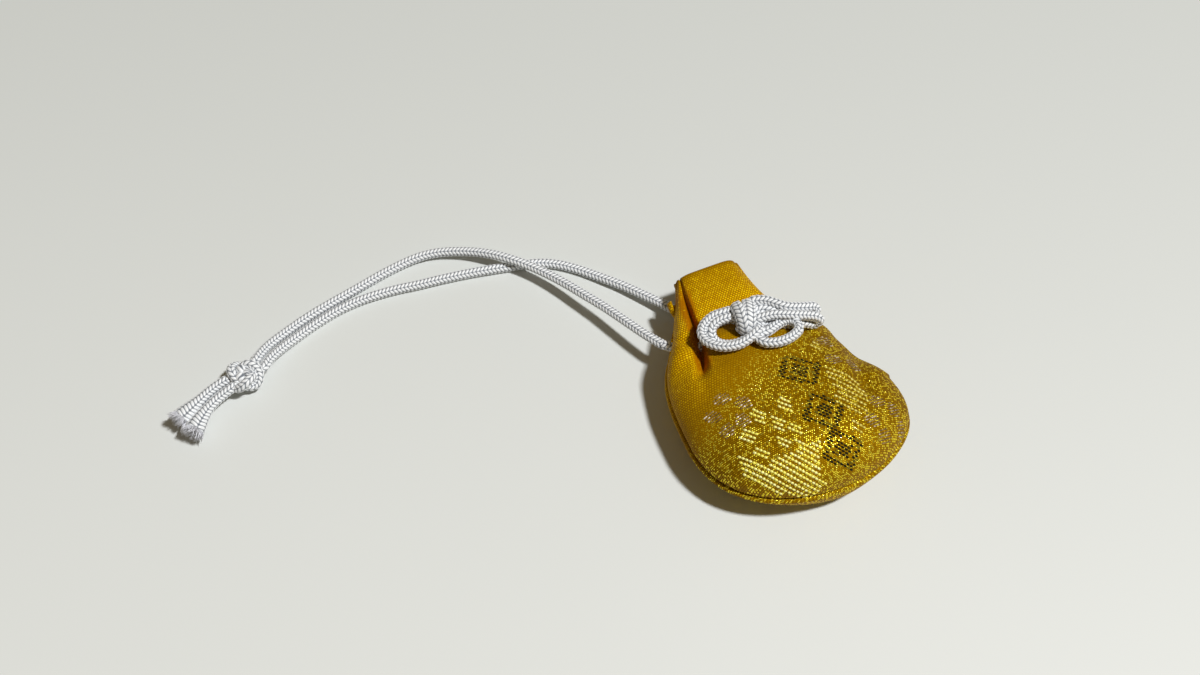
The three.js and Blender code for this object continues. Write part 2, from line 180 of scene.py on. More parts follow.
# Wrapper: a sleeve of handmade mulberry paper folded round the slip and left open towards the mouth.
# The sheet is off-white with long fibres in it, and only its folds hold it.
mulberry, place, feed = new_finish("mulberry_paper", Roughness=0.9)
fibres = place.node("ShaderNodeMapping", {"Vector": place, "Rotation": (0, 0, 0.6), "Scale": (1, 0.12, 1)})
strands = fibres.noise(4200, Detail=6.0).between(0.5, 0.62)
cloudy = place.noise(500)
feed(Base_Color=(strands * 0.5 + cloudy * 0.5).tint((0.74, 0.7, 0.6), (0.86, 0.83, 0.75)),
     Roughness=0.8 + cloudy * 0.15, height=strands, strength=0.25)
dress("slip_wrapper", mulberry)

# Padding: two pads of white polyester wadding, one over and one under the wrapped slip. They are loose
# tufts pulled to the shape of the pouch, so each is a crowned form with a lumpy, fibrous skin.
MM = 0.001
BODY_WIDTH, BODY_LENGTH, COLLAR_LENGTH = 41.0, 34.3, 16.5
SEAM_HEIGHT, RISE, TAPER = 7.5, 8.6, 0.055
FRONT_TUCK, BACK_TUCK = 0.15, -0.3
HALF_WIDTH = BODY_WIDTH / 2
WIDEST = -0.51 * BODY_LENGTH
NECK = 0.277 * BODY_LENGTH
# Sections of the pouch: place along it, left and right edge, seam height, front and back rise, left and right
# pleat, depth of the left and right pleat, all as shares of the body's or the collar's own sizes.
SECTIONS = np.array([
    (-0.51, 1.0, 1 - TAPER, 1.0, 1.0, 1.0, 0.78, 0.6, 0.0, 0.0),
    (-0.362, 1.0, 0.81, 1.0, 0.985, 0.97, 0.78, 0.53, 0.0, 0.0),
    (-0.207, 0.98, 0.69, 1.0, 0.9, 0.82, 0.68, 0.43, 0.04, 0.1),
    (-0.083, 0.93, 0.605, 1.0, 0.72, 0.6, 0.57, 0.34, 0.68, 0.35),
    (0.0, 0.865, 0.505, 1.0, 0.57, 0.48, 0.53, 0.28, 0.64, 0.6),
    (0.18, 0.765, 0.365, 1.0, 0.52, 0.42, 0.5, 0.22, 0.7, 0.4),
    (0.5, 0.62, 0.27, 0.98, 0.41, 0.36, 0.455, 0.175, 0.82, 0.1),
    (0.8, 0.49, 0.21, 0.96, 0.32, 0.31, 0.41, 0.14, 0.7, 0.0),
    (1.0, 0.42, 0.185, 0.96, 0.28, 0.28, 0.38, 0.125, 0.55, 0.0)])
# Waves of the right edge: height, place along the pouch and half width.
EDGE_WAVES = [(0.45, -16.6, 2.6), (-0.2, -11.0, 2.2), (0.7, -3.6, 2.8)]


def smooth(low, high, value):
    share = np.clip((value - low) / (high - low), 0, 1)
    return share * share * (3 - 2 * share)


def cubic(t, start, stop, leave, arrive):
    """Curve from start to stop with its slopes at the two ends, at shares t of the way."""
    return ((2 * t**3 - 3 * t**2 + 1) * start + (t**3 - 2 * t**2 + t) * leave
            + (3 * t**2 - 2 * t**3) * stop + (t**3 - t**2) * arrive)


def section_at(along):
    """Columns of the table at a place along the pouch, on a cubic through its rows."""
    known = SECTIONS[:, 0] * np.where(SECTIONS[:, 0] < 0, BODY_LENGTH, COLLAR_LENGTH)
    slope = np.gradient(SECTIONS[:, 1:], known, axis=0)
    i = np.clip(np.searchsorted(known, along, side="right") - 1, 0, len(known) - 2)
    step = (known[i + 1] - known[i])[:, None]
    t = ((along - known[i]) / step[:, 0])[:, None]
    return cubic(t, SECTIONS[i, 1:], SECTIONS[i + 1, 1:], step * slope[i], step * slope[i + 1])


def rows_at(arc_rows, upper, inset, face=1):
    """Outline and heights of the pouch's rows: arc_rows round the bottom, then the rows at upper."""
    inset = inset + (FRONT_TUCK if face > 0 else BACK_TUCK)
    angle = math.pi / 2 * (1 - np.arange(arc_rows) / arc_rows)
    share = np.sin(angle) ** 0.8
    half = (HALF_WIDTH - inset) * np.cos(angle)
    middle = 0.1 * HALF_WIDTH * share
    fullness = np.clip(np.cos(angle), 0, 1) ** 0.75
    level = np.ones(arc_rows)
    low = np.stack([WIDEST - (BODY_LENGTH + WIDEST - inset) * share, middle - half,
                    middle + half * (1 - TAPER * (1 - share) ** 2 - 0.045 * np.exp(-((share - 0.88) / 0.2) ** 2)),
                    SEAM_HEIGHT * level, RISE * fullness,
                    RISE * fullness, middle - 0.78 * half, middle + 0.6 * half, 0 * level, 0 * level], 1)
    left, right, seam, front, back, pleat_left, pleat_right, left_depth, right_depth = section_at(upper).T
    corner = 2.5 * np.exp(-((upper - COLLAR_LENGTH) / 4.0) ** 2) if face < 0 else 0 * upper
    wave = sum(high * np.exp(-((upper - at) / wide) ** 2) for high, at, wide in EDGE_WAVES)
    high = np.stack([upper, inset - left * HALF_WIDTH - corner, right * HALF_WIDTH - inset + wave, SEAM_HEIGHT * seam,
                     RISE * front, RISE * back, -pleat_left * HALF_WIDTH, pleat_right * HALF_WIDTH,
                     np.maximum(0, left_depth), np.maximum(0, right_depth)], 1)
    return np.concatenate([low, high]).T


# Shares of each half of a panel that are the flap, the fold of the pleat and the wing beside it.
FLAP_SHARE, FOLD_SHARE, WING_SHARE = 0.42, 0.2, 0.38
FOLD_RISE, FOLD_RISE_MOUTH = 4.8, 1.5
# Soft hollows in the front: two ends in mm, half width and depth. The first runs down from the right shoulder,
# and the last is the cloth that swells up inside the bow's left ear.
HOLLOWS = [
    ((14.8, -2.8), (12.4, -10.5), 2.0, 1.15), ((-13.6, 3.4), (-14.8, -1.0), 1.6, 0.3),
    ((-15.9, 13.6), (-12.4, 10.2), 0.8, 0.8), ((-7.4, 9.5), (-5.2, 9.2), 2.3, -1.8)]


def pouch_grid(face, arc_rows, upper, columns, inset, lip):
    """Points of the front (face 1) or back (face -1) of the pouch, in mm, row by row."""
    y, left, right, seam, front, back, pleat_left, pleat_right, left_depth, right_depth = (
        v[:, None] for v in rows_at(arc_rows, upper, inset, face))
    middle = (left + right) / 2
    u = columns[None, :]
    side = np.where(u < 0, -1.0, 1.0)
    edge = np.where(u < 0, left, right)
    pleat = np.where(u < 0, pleat_left, pleat_right)
    depth = np.where(u < 0, left_depth, right_depth)
    groove = np.minimum(1.5, 0.33 * np.abs(edge - pleat))
    near, far = (0.3 + 0.9 * smooth(2.0, 7.0, -y)) * groove, 1.5 * groove
    flap = np.clip(np.abs(u) / FLAP_SHARE, 0, 1)
    fold = np.clip((np.abs(u) - FLAP_SHARE) / FOLD_SHARE, 0, 1)
    wing = 1 - (1 - np.clip((np.abs(u) - FLAP_SHARE - FOLD_SHARE) / WING_SHARE, 0, 1)) ** 1.7
    x = (middle + (pleat - side * near - middle) * flap + side * (near + far) * fold
         + (edge - pleat - side * far) * wing)
    reach = np.maximum(np.abs(edge - middle), 1e-9)
    share = np.clip(np.abs(x - middle) / reach, 0, 1)
    squarer = 2.4 + 3.2 * smooth(2, 13, y)
    crown = np.maximum(0, 1 - share**squarer) ** 0.6
    out = side * (x - pleat)
    crease = np.where(out < 0, 1 + out / np.maximum(near, 1e-9), 1 - out / np.maximum(far, 1e-9))
    crease = np.clip(crease, 0, 1) ** np.where(out < 0, 1.0, 1.4)
    cord = np.exp(-((y / 2.47) ** 4))
    if face > 0:
        full = np.maximum(0, front - inset)
        rise = full * crown
        z = seam + lip + rise * (1 - depth * crease) - 0.5 * cord * (1 - share**4) * (1 - crease)
        # Beside the collar's left pleat the cloth lies out flat in a side fold.
        out_share = np.clip(out / np.maximum(np.abs(edge - pleat), 1e-9), 0, 1)
        trough = full * (1 - np.abs((pleat - middle) / reach) ** squarer) ** 0.6 * (1 - depth)
        fold_rise = FOLD_RISE + (FOLD_RISE_MOUTH - FOLD_RISE) * smooth(1, 14, y)
        swell = trough + (fold_rise - trough) * np.sin(math.pi / 2 * np.clip(out_share / 0.36, 0, 1))
        folded = smooth(-5.5, 0.0, y) * (u < 0) * (out > 0)
        z = z + (seam + lip + swell * np.maximum(0, 1 - out_share**5) ** 0.5 - z) * folded
        for start, stop, width, deep in HOLLOWS:
            run = np.subtract(stop, start)
            t = np.clip(((x - start[0]) * run[0] + (y + NECK - start[1]) * run[1]) / (run @ run), 0, 1)
            gap = np.hypot(x - start[0] - t * run[0], y + NECK - start[1] - t * run[1])
            z = z - deep * np.exp(-((gap / width) ** 2)) * np.clip(rise / 3, 0, 1)
    else:
        z = seam - lip - np.maximum(0, back - inset) * np.maximum(0, 1 - share**2.2) ** 0.85
        z = 0.5 * (z + np.sqrt(z * z + 0.16))
    return np.stack([x, np.broadcast_to(y + NECK, x.shape), z], 2)


def grid_faces(rows, columns, first=0, flip=False):
    corner = first + np.arange(rows - 1)[:, None] * columns + np.arange(columns - 1)[None, :]
    quad = [corner, corner + 1, corner + columns + 1, corner + columns]
    return np.stack(quad[::-1] if flip else quad, 2).reshape(-1, 4)


def new_piece(name, points, faces, material, uv=None, uv_name=None):
    """A smooth mesh object at the origin from points in mm. uv holds a pair of numbers for each point."""
    mesh = bpy.data.meshes.new(name)
    mesh.from_pydata((np.asarray(points).reshape(-1, 3) * MM).tolist(), [], [list(f) for f in faces])
    if uv is not None:
        layer = mesh.uv_layers.new(name=uv_name)
        corner = np.empty(len(mesh.loops), np.int32)
        mesh.loops.foreach_get("vertex_index", corner)
        layer.data.foreach_set("uv", np.asarray(uv, np.float32).reshape(-1, 2)[corner].ravel())
    mesh.materials.append(material)
    mesh.polygons.foreach_set("use_smooth", [True] * len(mesh.polygons))
    mesh.update()
    piece = bpy.data.objects.new(name, mesh)
    bpy.context.scene.collection.objects.link(piece)
    return piece


def merge_doubles(mesh, distance, outwards=False):
    """Joins the points of a mesh that lie within distance, and turns its faces outwards where asked."""
    joined = bmesh.new()
    joined.from_mesh(mesh)
    bmesh.ops.remove_doubles(joined, verts=joined.verts, dist=distance)
    bmesh.ops.dissolve_degenerate(joined, edges=joined.edges, dist=1e-7)
    if outwards:
        bmesh.ops.recalc_face_normals(joined, faces=joined.faces)
    joined.to_mesh(mesh)
    joined.free()


wadding, place, feed = new_finish("polyester_wadding", Roughness=0.95, Sheen_Weight=0.4)
tufts = place.noise(420, Detail=5.0)
hairs = place.noise(3600, Detail=6.0, Distortion=2.5)
feed(Base_Color=(tufts * 0.5 + hairs * 0.5).tint((0.66, 0.65, 0.62), (0.9, 0.9, 0.88)),
     Roughness=0.88 + hairs * 0.1, height=tufts + hairs * 0.6, strength=0.6, depth=0.0004)
PAD_INSET, PAD_BASE, PAD_TUFT, PAD_LIP, PAD_ARC_ROWS = 2.9, 1.6, 0.35, 0.45, 18
pad_columns = np.linspace(-1, 1, 49)
pad_upper = np.linspace(WIDEST, -0.24 * BODY_LENGTH, 22)
for face, name in ((1, "front_wadding"), (-1, "back_wadding")):
    crown = pouch_grid(face, PAD_ARC_ROWS, pad_upper, pad_columns, PAD_INSET, PAD_LIP)
    x, y, z = np.moveaxis(crown, 2, 0)
    lift = np.abs(z - SEAM_HEIGHT) - PAD_LIP
    lumps = np.sin(x * 1.3) * np.sin(y * 1.1 + 0.7) + np.sin(x * 2.9 + y)
    height = np.maximum(0.0, lift - PAD_BASE + 0.6 + PAD_TUFT * lumps * np.clip(lift - 2, 0, 1))
    base = crown.copy()
    crown[..., 2] = SEAM_HEIGHT + face * (PAD_BASE + 0.15 + height)
    base[..., 2] = SEAM_HEIGHT + face * PAD_BASE
    rows, columns = crown.shape[:2]
    faces = [*grid_faces(rows, columns), *grid_faces(rows, columns, rows * columns, flip=True)]
    ring = [i * columns for i in range(rows)] + [(rows - 1) * columns + j for j in range(1, columns)]
    ring += [i * columns + columns - 1 for i in range(rows - 2, 0, -1)] + list(range(columns - 1, 0, -1))
    faces += [(a, b, b + rows * columns, a + rows * columns) for a, b in zip(ring, ring[1:] + ring[:1])]
    pad = new_piece(name + "_pad", np.concatenate([crown, base]), faces, wadding)
    merge_doubles(pad.data, 0.002 * MM, outwards=True)
    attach(pad, "pouch")
    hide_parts(name)

# Brocade panels: a front and a back cut from gold silk brocade, sewn face to face round the sides and the
# bottom and turned out. The mouth has a folded hem, and the neck is drawn in, with a deep pleat on each side.
brocade, place, feed = new_finish("gold_brocade", coords="cloth", Specular_IOR_Level=0.08,
                                  Specular_Tint=(1.0, 0.66, 0.03, 1))
TWILL = 0.43


def weave(warp, weft):
    """Raised dots of a weave in alternate rows and a chance value for each dot."""
    pick = place.part(1) / weft
    end = place.part(0) / warp + (pick.floor() % 2.0) * 0.5
    across = end.fract() - 0.5
    along = pick.fract() - 0.5
    raised = (1 - (across * across * 3.6 + along * along * 3.6)).between(0.15, 0.95)
    cell = place.node("ShaderNodeCombineXYZ", {0: end.floor(), 1: pick.floor()})
    return raised, cell.node("ShaderNodeTexWhiteNoise", {"Vector": cell}, noise_dimensions="2D")


ground_dot, ground_luck = weave(0.55, 0.46)
film_dot, film_luck = weave(0.38, 0.34)
body = place.node("ShaderNodeTexCoord", {}, out=3)
beside = body.part(0) * 1000
height = body.part(1) * 1000
# Film threads come to the face low on the right. The collar and the left shoulder have bright raised dots, and
# the rest is the plain weave of the ground. On the collar the dots are also painted brighter, a painted sheen
# that is strongest near the neck.
figured = (beside * 0.586 - height + film_luck * 4).between(-4.5, 6.0)
collar = height.between(10.5, 13.0) * (1 - height.between(24.3, 25.6))
shoulder = beside.between(-9.0, -15.0) * height.between(-6.0, 6.0) * 0.6
dots_and_sheen = 1 - (1 - collar * (height.between(26.0, 13.0) * 0.65 + 0.4)) * (1 - shoulder)
rib = ((place.part(0) * 0.6 + place.part(1) * 0.8) * (2 * math.pi / TWILL)).wave()
plain = (ground_dot * 0.55 + ground_luck * 0.2 + rib * 0.25).tint((0.23, 0.112, 0.0005), (0.45, 0.232, 0.001))
dotted = (ground_dot * (ground_luck * 0.9 + 0.6)).tint((0.39, 0.16, 0.0005), (1.0, 0.65, 0.004))
# The film's specks are painted brighter towards the bottom, a painted highlight, and are darker towards the right
# edge.
low = (height * -1).between(15.0, 22.0)
level = low * 0.6 + 1.32 - beside.between(8.0, 16.0) * 0.3
speck = film_dot * (film_luck * film_luck * film_luck * 1.95 + 0.1) * level
amber = speck.tint(low.tint((0.15, 0.07, 0.0005), (0.21, 0.10, 0.001)), (0.88, 0.53, 0.004))
speckled = speck.between(0.5, 1.0).tint(amber, (1.0, 0.84, 0.055))
glint = (film_luck.between(0.84, 0.97) * film_dot * figured
         + ground_luck.between(0.84, 0.95) * ground_dot * dots_and_sheen * (1 - figured))
# Down in the left pleat the base colour is painted a deeper, redder gold: painted shade for the pleat, which lies in
# shadow.
tuck = beside - height * 0.2 + 13.4
deep = (1 - (tuck * tuck).between(0.5, 3.2)) * height.between(2.5, 6.0) * (1 - height.between(20.0, 26.0))
ground = deep.tint(figured.tint(dots_and_sheen.tint(plain, dotted), speckled), (0.46, 0.165, 0.0005))
bright = figured.tint((1.0, 0.70, 0.01), (1.0, 0.84, 0.1))
shine = speck * figured
feed(Base_Color=glint.tint(ground, bright), Roughness=0.55 - (glint * 0.2 + shine * 0.15),
     Metallic=0.12 + glint * 0.35 + shine * 0.3,
     height=figured * film_dot * (film_luck * 0.7 + 0.3) + (1 - figured) * ground_dot * (dots_and_sheen * 0.6 + 0.4),
     strength=0.55, depth=0.00014)

CLOTH, ROLL, HEM, LIP = 0.35, 0.75, 0.5, 0.8
ARC_ROWS, UPPER_ROWS, HALF_COLUMNS = 88, 112, 73
half_columns = np.linspace(0, 1, HALF_COLUMNS)
panel_columns = np.concatenate([-np.linspace(1, 0, HALF_COLUMNS)[:-1], half_columns])
panel_upper = np.linspace(WIDEST, COLLAR_LENGTH - HEM, UPPER_ROWS)
PUCKER, PUCKER_DEPTH = 2.1, 0.035
HEM_STEPS, LINING_STEPS, LINING_ROWS, ROLL_STEPS = 8, 22, 40, 5


def run_along(points, axis=0):
    """Length along each line of points, from 0 at its start."""
    steps = np.linalg.norm(np.diff(points, axis=axis), axis=-1)
    return np.concatenate([0 * steps.take([0], axis), np.cumsum(steps, axis)], axis)


def panel_sheet(face):
    """Grid of one panel: its face, the hem rolled over the mouth, the lining and the rolled seam edges."""
    face_grid = pouch_grid(face, ARC_ROWS, panel_upper, panel_columns, 0.0, LIP)
    seam_line = rows_at(ARC_ROWS, panel_upper, 0)[3]
    top = face_grid[-1]
    room = np.minimum(HEM, 0.45 * np.abs(top[:, 2] - seam_line[-1]))
    rolled = []
    for angle in np.linspace(0, math.pi, HEM_STEPS)[1:]:
        step = np.stack([0 * room, HEM * math.sin(angle) + 0 * room, -face * room * (1 - math.cos(angle))], 1)
        rolled.append(top + step)
    lining = []
    for share in np.linspace(0, 1, LINING_STEPS)[1:]:
        row = face_grid[len(face_grid) - 1 - int(round(share * LINING_ROWS))].copy()
        inwards, clear = smooth(0.45, 1.0, share), np.abs(row[:, 2] - SEAM_HEIGHT)
        row[:, 2] -= face * np.minimum(2 * room * (1 - inwards) + clear * inwards, clear - 0.1)
        row[:, 0] = row[:, 0] * (1 - 0.03 * share) - 0.03 * share * 2
        lining.append(row)
    grid = np.concatenate([face_grid, np.array(rolled), np.array(lining)])
    sides = []
    for angle in np.linspace(0, math.pi / 2, ROLL_STEPS)[1:]:
        inset = ROLL * (1 - math.cos(angle))
        y, left, right, seam = rows_at(ARC_ROWS, panel_upper, inset, face)[:4]
        z = seam + face * (LIP - ROLL * math.sin(angle))
        pair = []
        for edge, column in ((left, 0), (right, -1)):
            points = np.stack([edge, y + NECK, z], 1)
            fade = np.linspace(1, 0, len(grid) - len(points))[:, None]
            shift = points[-1] - grid[len(points) - 1, column]
            pair.append(np.concatenate([points, grid[len(points):, column] + shift * fade]))
        sides.append(pair)
    left_roll = np.stack([pair[0] for pair in sides[::-1]], 1)
    right_roll = np.stack([pair[1] for pair in sides], 1)
    grid = np.concatenate([left_roll, grid, right_roll], 1)
    from_left = run_along(grid, 1)
    from_right = from_left[:, -1:] - from_left
    sewn = 1 - smooth(NECK - 5, NECK - 1, grid[:, :1, 1])
    for away, column in ((from_left, len(sides)), (from_right, -1 - len(sides))):
        run = run_along(grid[:, column])
        tuck = np.cos(run * 2 * math.pi / PUCKER) + 0.5 * np.cos(run * 2 * math.pi / (PUCKER * 2.7) + 1)
        grid[..., 2] += face * PUCKER_DEPTH * tuck[:, None] * np.exp(-((away - 1.4) / 1.3) ** 2) * sewn
    if face < 0:
        # The back's mouth slants and ends lower than the front's, most of all on the left.
        grid[..., 1] -= 3.3 * smooth(NECK + 4, NECK + 16, grid[..., 1]) * smooth(4, -9, grid[..., 0])
    return grid


def cloth_map(grid):
    """Place on the flat cloth of each point of a grid, in mm: across from the middle and along it."""
    across = run_along(grid, 1)
    middle = grid.shape[1] // 2
    along = run_along(grid[:, middle])[:, None]
    return np.stack([across - across[:, middle:middle + 1], np.broadcast_to(along, across.shape)], 2)


def settle(piece):
    """Makes what a piece's modifiers give its plain mesh."""
    mesh = bpy.data.meshes.new_from_object(piece.evaluated_get(bpy.context.evaluated_depsgraph_get()))
    piece.modifiers.clear()
    piece.data = mesh


laid = {}
for face, name in ((1, "front_panel"), (-1, "back_panel")):
    grid = panel_sheet(face)
    laid[name] = grid, cloth_map(grid)
    faces = grid_faces(*grid.shape[:2], flip=face < 0)
    panel = new_piece(name + "_brocade", grid, faces, brocade, laid[name][1], "cloth")
    merge_doubles(panel.data, 0.001 * MM)
    wall = panel.modifiers.new("cloth", "SOLIDIFY")
    wall.thickness = CLOTH * MM
    wall.offset = -1
    settle(panel)
    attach(panel, "pouch")
    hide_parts(name)

# Seam thread: doubled gold silk, sewn in close even stitches along the groove between the two panels, up
# both sides and round the bottom.
silk, place, feed = new_finish("gold_sewing_thread", Roughness=0.45)
ply = (place.part(0) * 9000 + place.part(1) * 9000 + place.part(2) * 5000).wave()
feed(Base_Color=ply.tint((0.16, 0.075, 0.002), (0.46, 0.27, 0.01)), Roughness=0.35 + ply * 0.2,
     height=ply, strength=0.4)


def node_tree(name, sockets):
    """A Geometry Nodes tree with a geometry in and out and the named inputs in sockets."""
    tree = bpy.data.node_groups.new(name, "GeometryNodeTree")
    tree.interface.new_socket("Geometry", in_out="INPUT", socket_type="NodeSocketGeometry")
    for label, kind in sockets.items():
        tree.interface.new_socket(label, in_out="INPUT", socket_type="NodeSocket" + kind)
    tree.interface.new_socket("Geometry", in_out="OUTPUT", socket_type="NodeSocketGeometry")
    return tree, tree.nodes.new("NodeGroupInput").outputs, tree.nodes.new("NodeGroupOutput").inputs[0]


def tree_node(tree, kind, links, **settings):
    """First output of a new node with its settings and the values or links of its sockets."""
    made = tree.nodes.new(kind)
    for name, value in settings.items():
        setattr(made, name, value)
    for key, value in links.items():
        if isinstance(value, bpy.types.NodeSocket):
            tree.links.new(value, made.inputs[key])
        else:
            made.inputs[key].default_value = value
    return made.outputs[0]


def stored(tree, name, kind="FLOAT_VECTOR"):
    return tree_node(tree, "GeometryNodeInputNamedAttribute", {"Name": name}, data_type=kind)


def grown(piece, tree, values):
    """Runs a tree on a piece with the given inputs and leaves the result as its plain mesh."""
    modifier = piece.modifiers.new("nodes", "NODES")
    modifier.node_group = tree
    for item in tree.interface.items_tree:
        if item.in_out == "INPUT" and item.name in values:
            modifier[item.identifier] = values[item.name]
    settle(piece)
    piece.data.polygons.foreach_set("use_smooth", [True] * len(piece.data.polygons))


def plant(tree, given, tree_out, **sockets):
    """Ends a tree with a copy of one shape on each point, made real and given its material."""
    placed = tree_node(tree, "GeometryNodeInstanceOnPoints", sockets)
    real = tree_node(tree, "GeometryNodeRealizeInstances", {"Geometry": placed})
    dyed = tree_node(tree, "GeometryNodeSetMaterial", {"Geometry": real, "Material": given["Material"]})
    tree.links.new(dyed, tree_out)


def mark_points(piece, label, values):
    """Stores a number or a direction at each point of a piece."""
    values = np.asarray(values, np.float32)
    kind, field = ("FLOAT", "value") if values.ndim == 1 else ("FLOAT_VECTOR", "vector")
    piece.data.attributes.new(label, kind, "POINT").data.foreach_set(field, values.ravel())


def bare_points(name, points, edges=(), **marks):
    """An object of points in mm, with their marks, for a tree to work on."""
    piece = bpy.data.objects.new(name, bpy.data.meshes.new(name))
    piece.data.from_pydata((points * MM).tolist(), list(edges), [])
    for label, values in marks.items():
        mark_points(piece, label, values)
    bpy.context.scene.collection.objects.link(piece)
    return piece


stitch_tree, given, tree_out = node_tree(
    "seam_stitches", {"Pitch": "Float", "Length": "Float", "Width": "Float", "Material": "Material"})
curve = tree_node(stitch_tree, "GeometryNodeMeshToCurve", {"Mesh": given["Geometry"]})
evenly = tree_node(stitch_tree, "GeometryNodeResampleCurve",
                   {"Curve": curve, "Length": given["Pitch"]}, mode="LENGTH")
bead = tree_node(stitch_tree, "GeometryNodeMeshUVSphere", {"Segments": 8, "Rings": 6, "Radius": 0.5})
shape = tree_node(stitch_tree, "ShaderNodeCombineXYZ",
                  {0: given["Width"], 1: given["Width"], 2: given["Length"]})
stitch = tree_node(stitch_tree, "GeometryNodeTransform", {"Geometry": bead, "Scale": shape})
tangent = tree_node(stitch_tree, "GeometryNodeInputTangent", {})
turn = tree_node(stitch_tree, "FunctionNodeAlignRotationToVector", {"Vector": tangent}, axis="Z")
plant(stitch_tree, given, tree_out, Points=evenly, Instance=stitch,
      Rotation=turn)

SEAM_INSET, SEAM_ROWS, SEAM_END = 0.5, 60, -0.9
SEWN_PITCH, SEWN_LENGTH, SEWN_WIDTH = 0.95, 0.85, 0.32
along, left, right, level = rows_at(SEAM_ROWS, np.linspace(WIDEST, SEAM_END, SEAM_ROWS), SEAM_INSET)[:4]
left_side, right_side = (np.stack([edge, along + NECK, level], 1) for edge in (left, right))
seam_path = np.concatenate([left_side[:0:-1], right_side])
seam = bare_points("seam_stitches", seam_path, [(i, i + 1) for i in range(len(seam_path) - 1)])
grown(seam, stitch_tree, {"Pitch": SEWN_PITCH * MM, "Length": SEWN_LENGTH * MM, "Width": SEWN_WIDTH * MM,
                          "Material": silk})
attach(seam, "pouch")
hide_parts("seam_thread")

# Woven figures: extra wefts brought to the face in the loom, in short floats. Rows of bright gold film make the
# brick bands and dark silk the lozenges, on one slant, and silver film makes the petals of the flowers.
woven_tree, given, tree_out = node_tree(
    "woven_floats", {"Length": "Float", "Width": "Float", "Height": "Float", "Material": "Material"})
facing = stored(woven_tree, "facing")
running = stored(woven_tree, "running")
turn = tree_node(woven_tree, "FunctionNodeAxesToRotation",
                 {0: facing, 1: running},
                 primary_axis="Z", secondary_axis="X")
bead = tree_node(woven_tree, "GeometryNodeMeshUVSphere", {"Segments": 8, "Rings": 4, "Radius": 0.5})
shape = tree_node(woven_tree, "ShaderNodeCombineXYZ",
                  {0: given["Length"], 1: given["Width"], 2: given["Height"]})
plant(woven_tree, given, tree_out, Points=given["Geometry"], Instance=bead,
      Rotation=turn, Scale=shape)
PATTERN_MIDDLE, PATTERN_REACH, PROBE = (0, 20), 32, 0.2


def on_cloth(flat):
    """Points of the front panel, in mm, at places on its flat cloth."""
    grid, cloth = laid["front_panel"]
    along = cloth[:, 0, 1]
    row = np.clip(np.searchsorted(along, flat[:, 1]) - 1, 0, len(along) - 2)
    share = ((flat[:, 1] - along[row]) / np.maximum(along[row + 1] - along[row], 1e-9))[:, None]
    ends = []
    for r in (row, row + 1):
        across = cloth[r, :, 0]
        column = np.clip((across <= flat[:, :1]).sum(1) - 1, 0, across.shape[1] - 2)
        each = np.arange(len(r))
        low, high = across[each, column], across[each, column + 1]
        part = ((flat[:, 0] - low) / np.maximum(high - low, 1e-9))[:, None]
        ends.append(grid[r, column] * (1 - part) + grid[r, column + 1] * part)
    return ends[0] * (1 - share) + ends[1] * share


def slanted(slant):
    return np.array([math.cos(math.radians(slant)), math.sin(math.radians(slant))])


def floats_in(outlines, slant, row_step, step, shift):
    """Places on the flat cloth of the floats that fill the outlines, in rows of one slant."""
    run, side = slanted(slant), slanted(slant + 90)
    counts = [np.arange(-int(PATTERN_REACH / each), int(PATTERN_REACH / each)) for each in (row_step, step)]
    i, j = (each.ravel()[:, None] for each in np.meshgrid(*counts))
    flat = PATTERN_MIDDLE + i * row_step * side + (j * step + i * shift) * run
    x, y = flat.T
    inside = np.zeros(len(flat), bool)
    for outline in outlines:
        crossed = np.zeros(len(flat), int)
        for (x1, y1), (x2, y2) in zip(outline, np.roll(outline, -1, 0)):
            crossed += ((y1 > y) != (y2 > y)) & (x < (x2 - x1) * (y - y1) / (y2 - y1 + 1e-12) + x1)
        inside |= crossed % 2 == 1
    return flat[inside]


def oval(centre, along, across, turn):
    angle = np.linspace(0, 2 * math.pi, 14, endpoint=False)
    c, s = math.cos(math.radians(turn)), math.sin(math.radians(turn))
    x, y = along / 2 * np.cos(angle), across / 2 * np.sin(angle)
    return np.stack([centre[0] + c * x - s * y, centre[1] + s * x + c * y], 1)


def woven(name, places, slant, size, material):
    """Floats of film or silk on the front panel at places on its flat cloth."""
    def across(step):
        return on_cloth(places + step) - on_cloth(places - step)

    facing = np.cross(across((PROBE, 0)), across((0, PROBE)))
    running = across(PROBE * slanted(slant))
    facing /= np.linalg.norm(facing, axis=1)[:, None]
    running /= np.linalg.norm(running, axis=1)[:, None]
    chance = np.random.default_rng(len(places)).random(len(places))
    piece = bare_points(name, on_cloth(places), facing=facing, running=running, luck=chance)
    length, width, height = (v * MM for v in size)
    grown(piece, woven_tree, {"Length": length, "Width": width, "Height": height, "Material": material})
    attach(piece, "pouch")


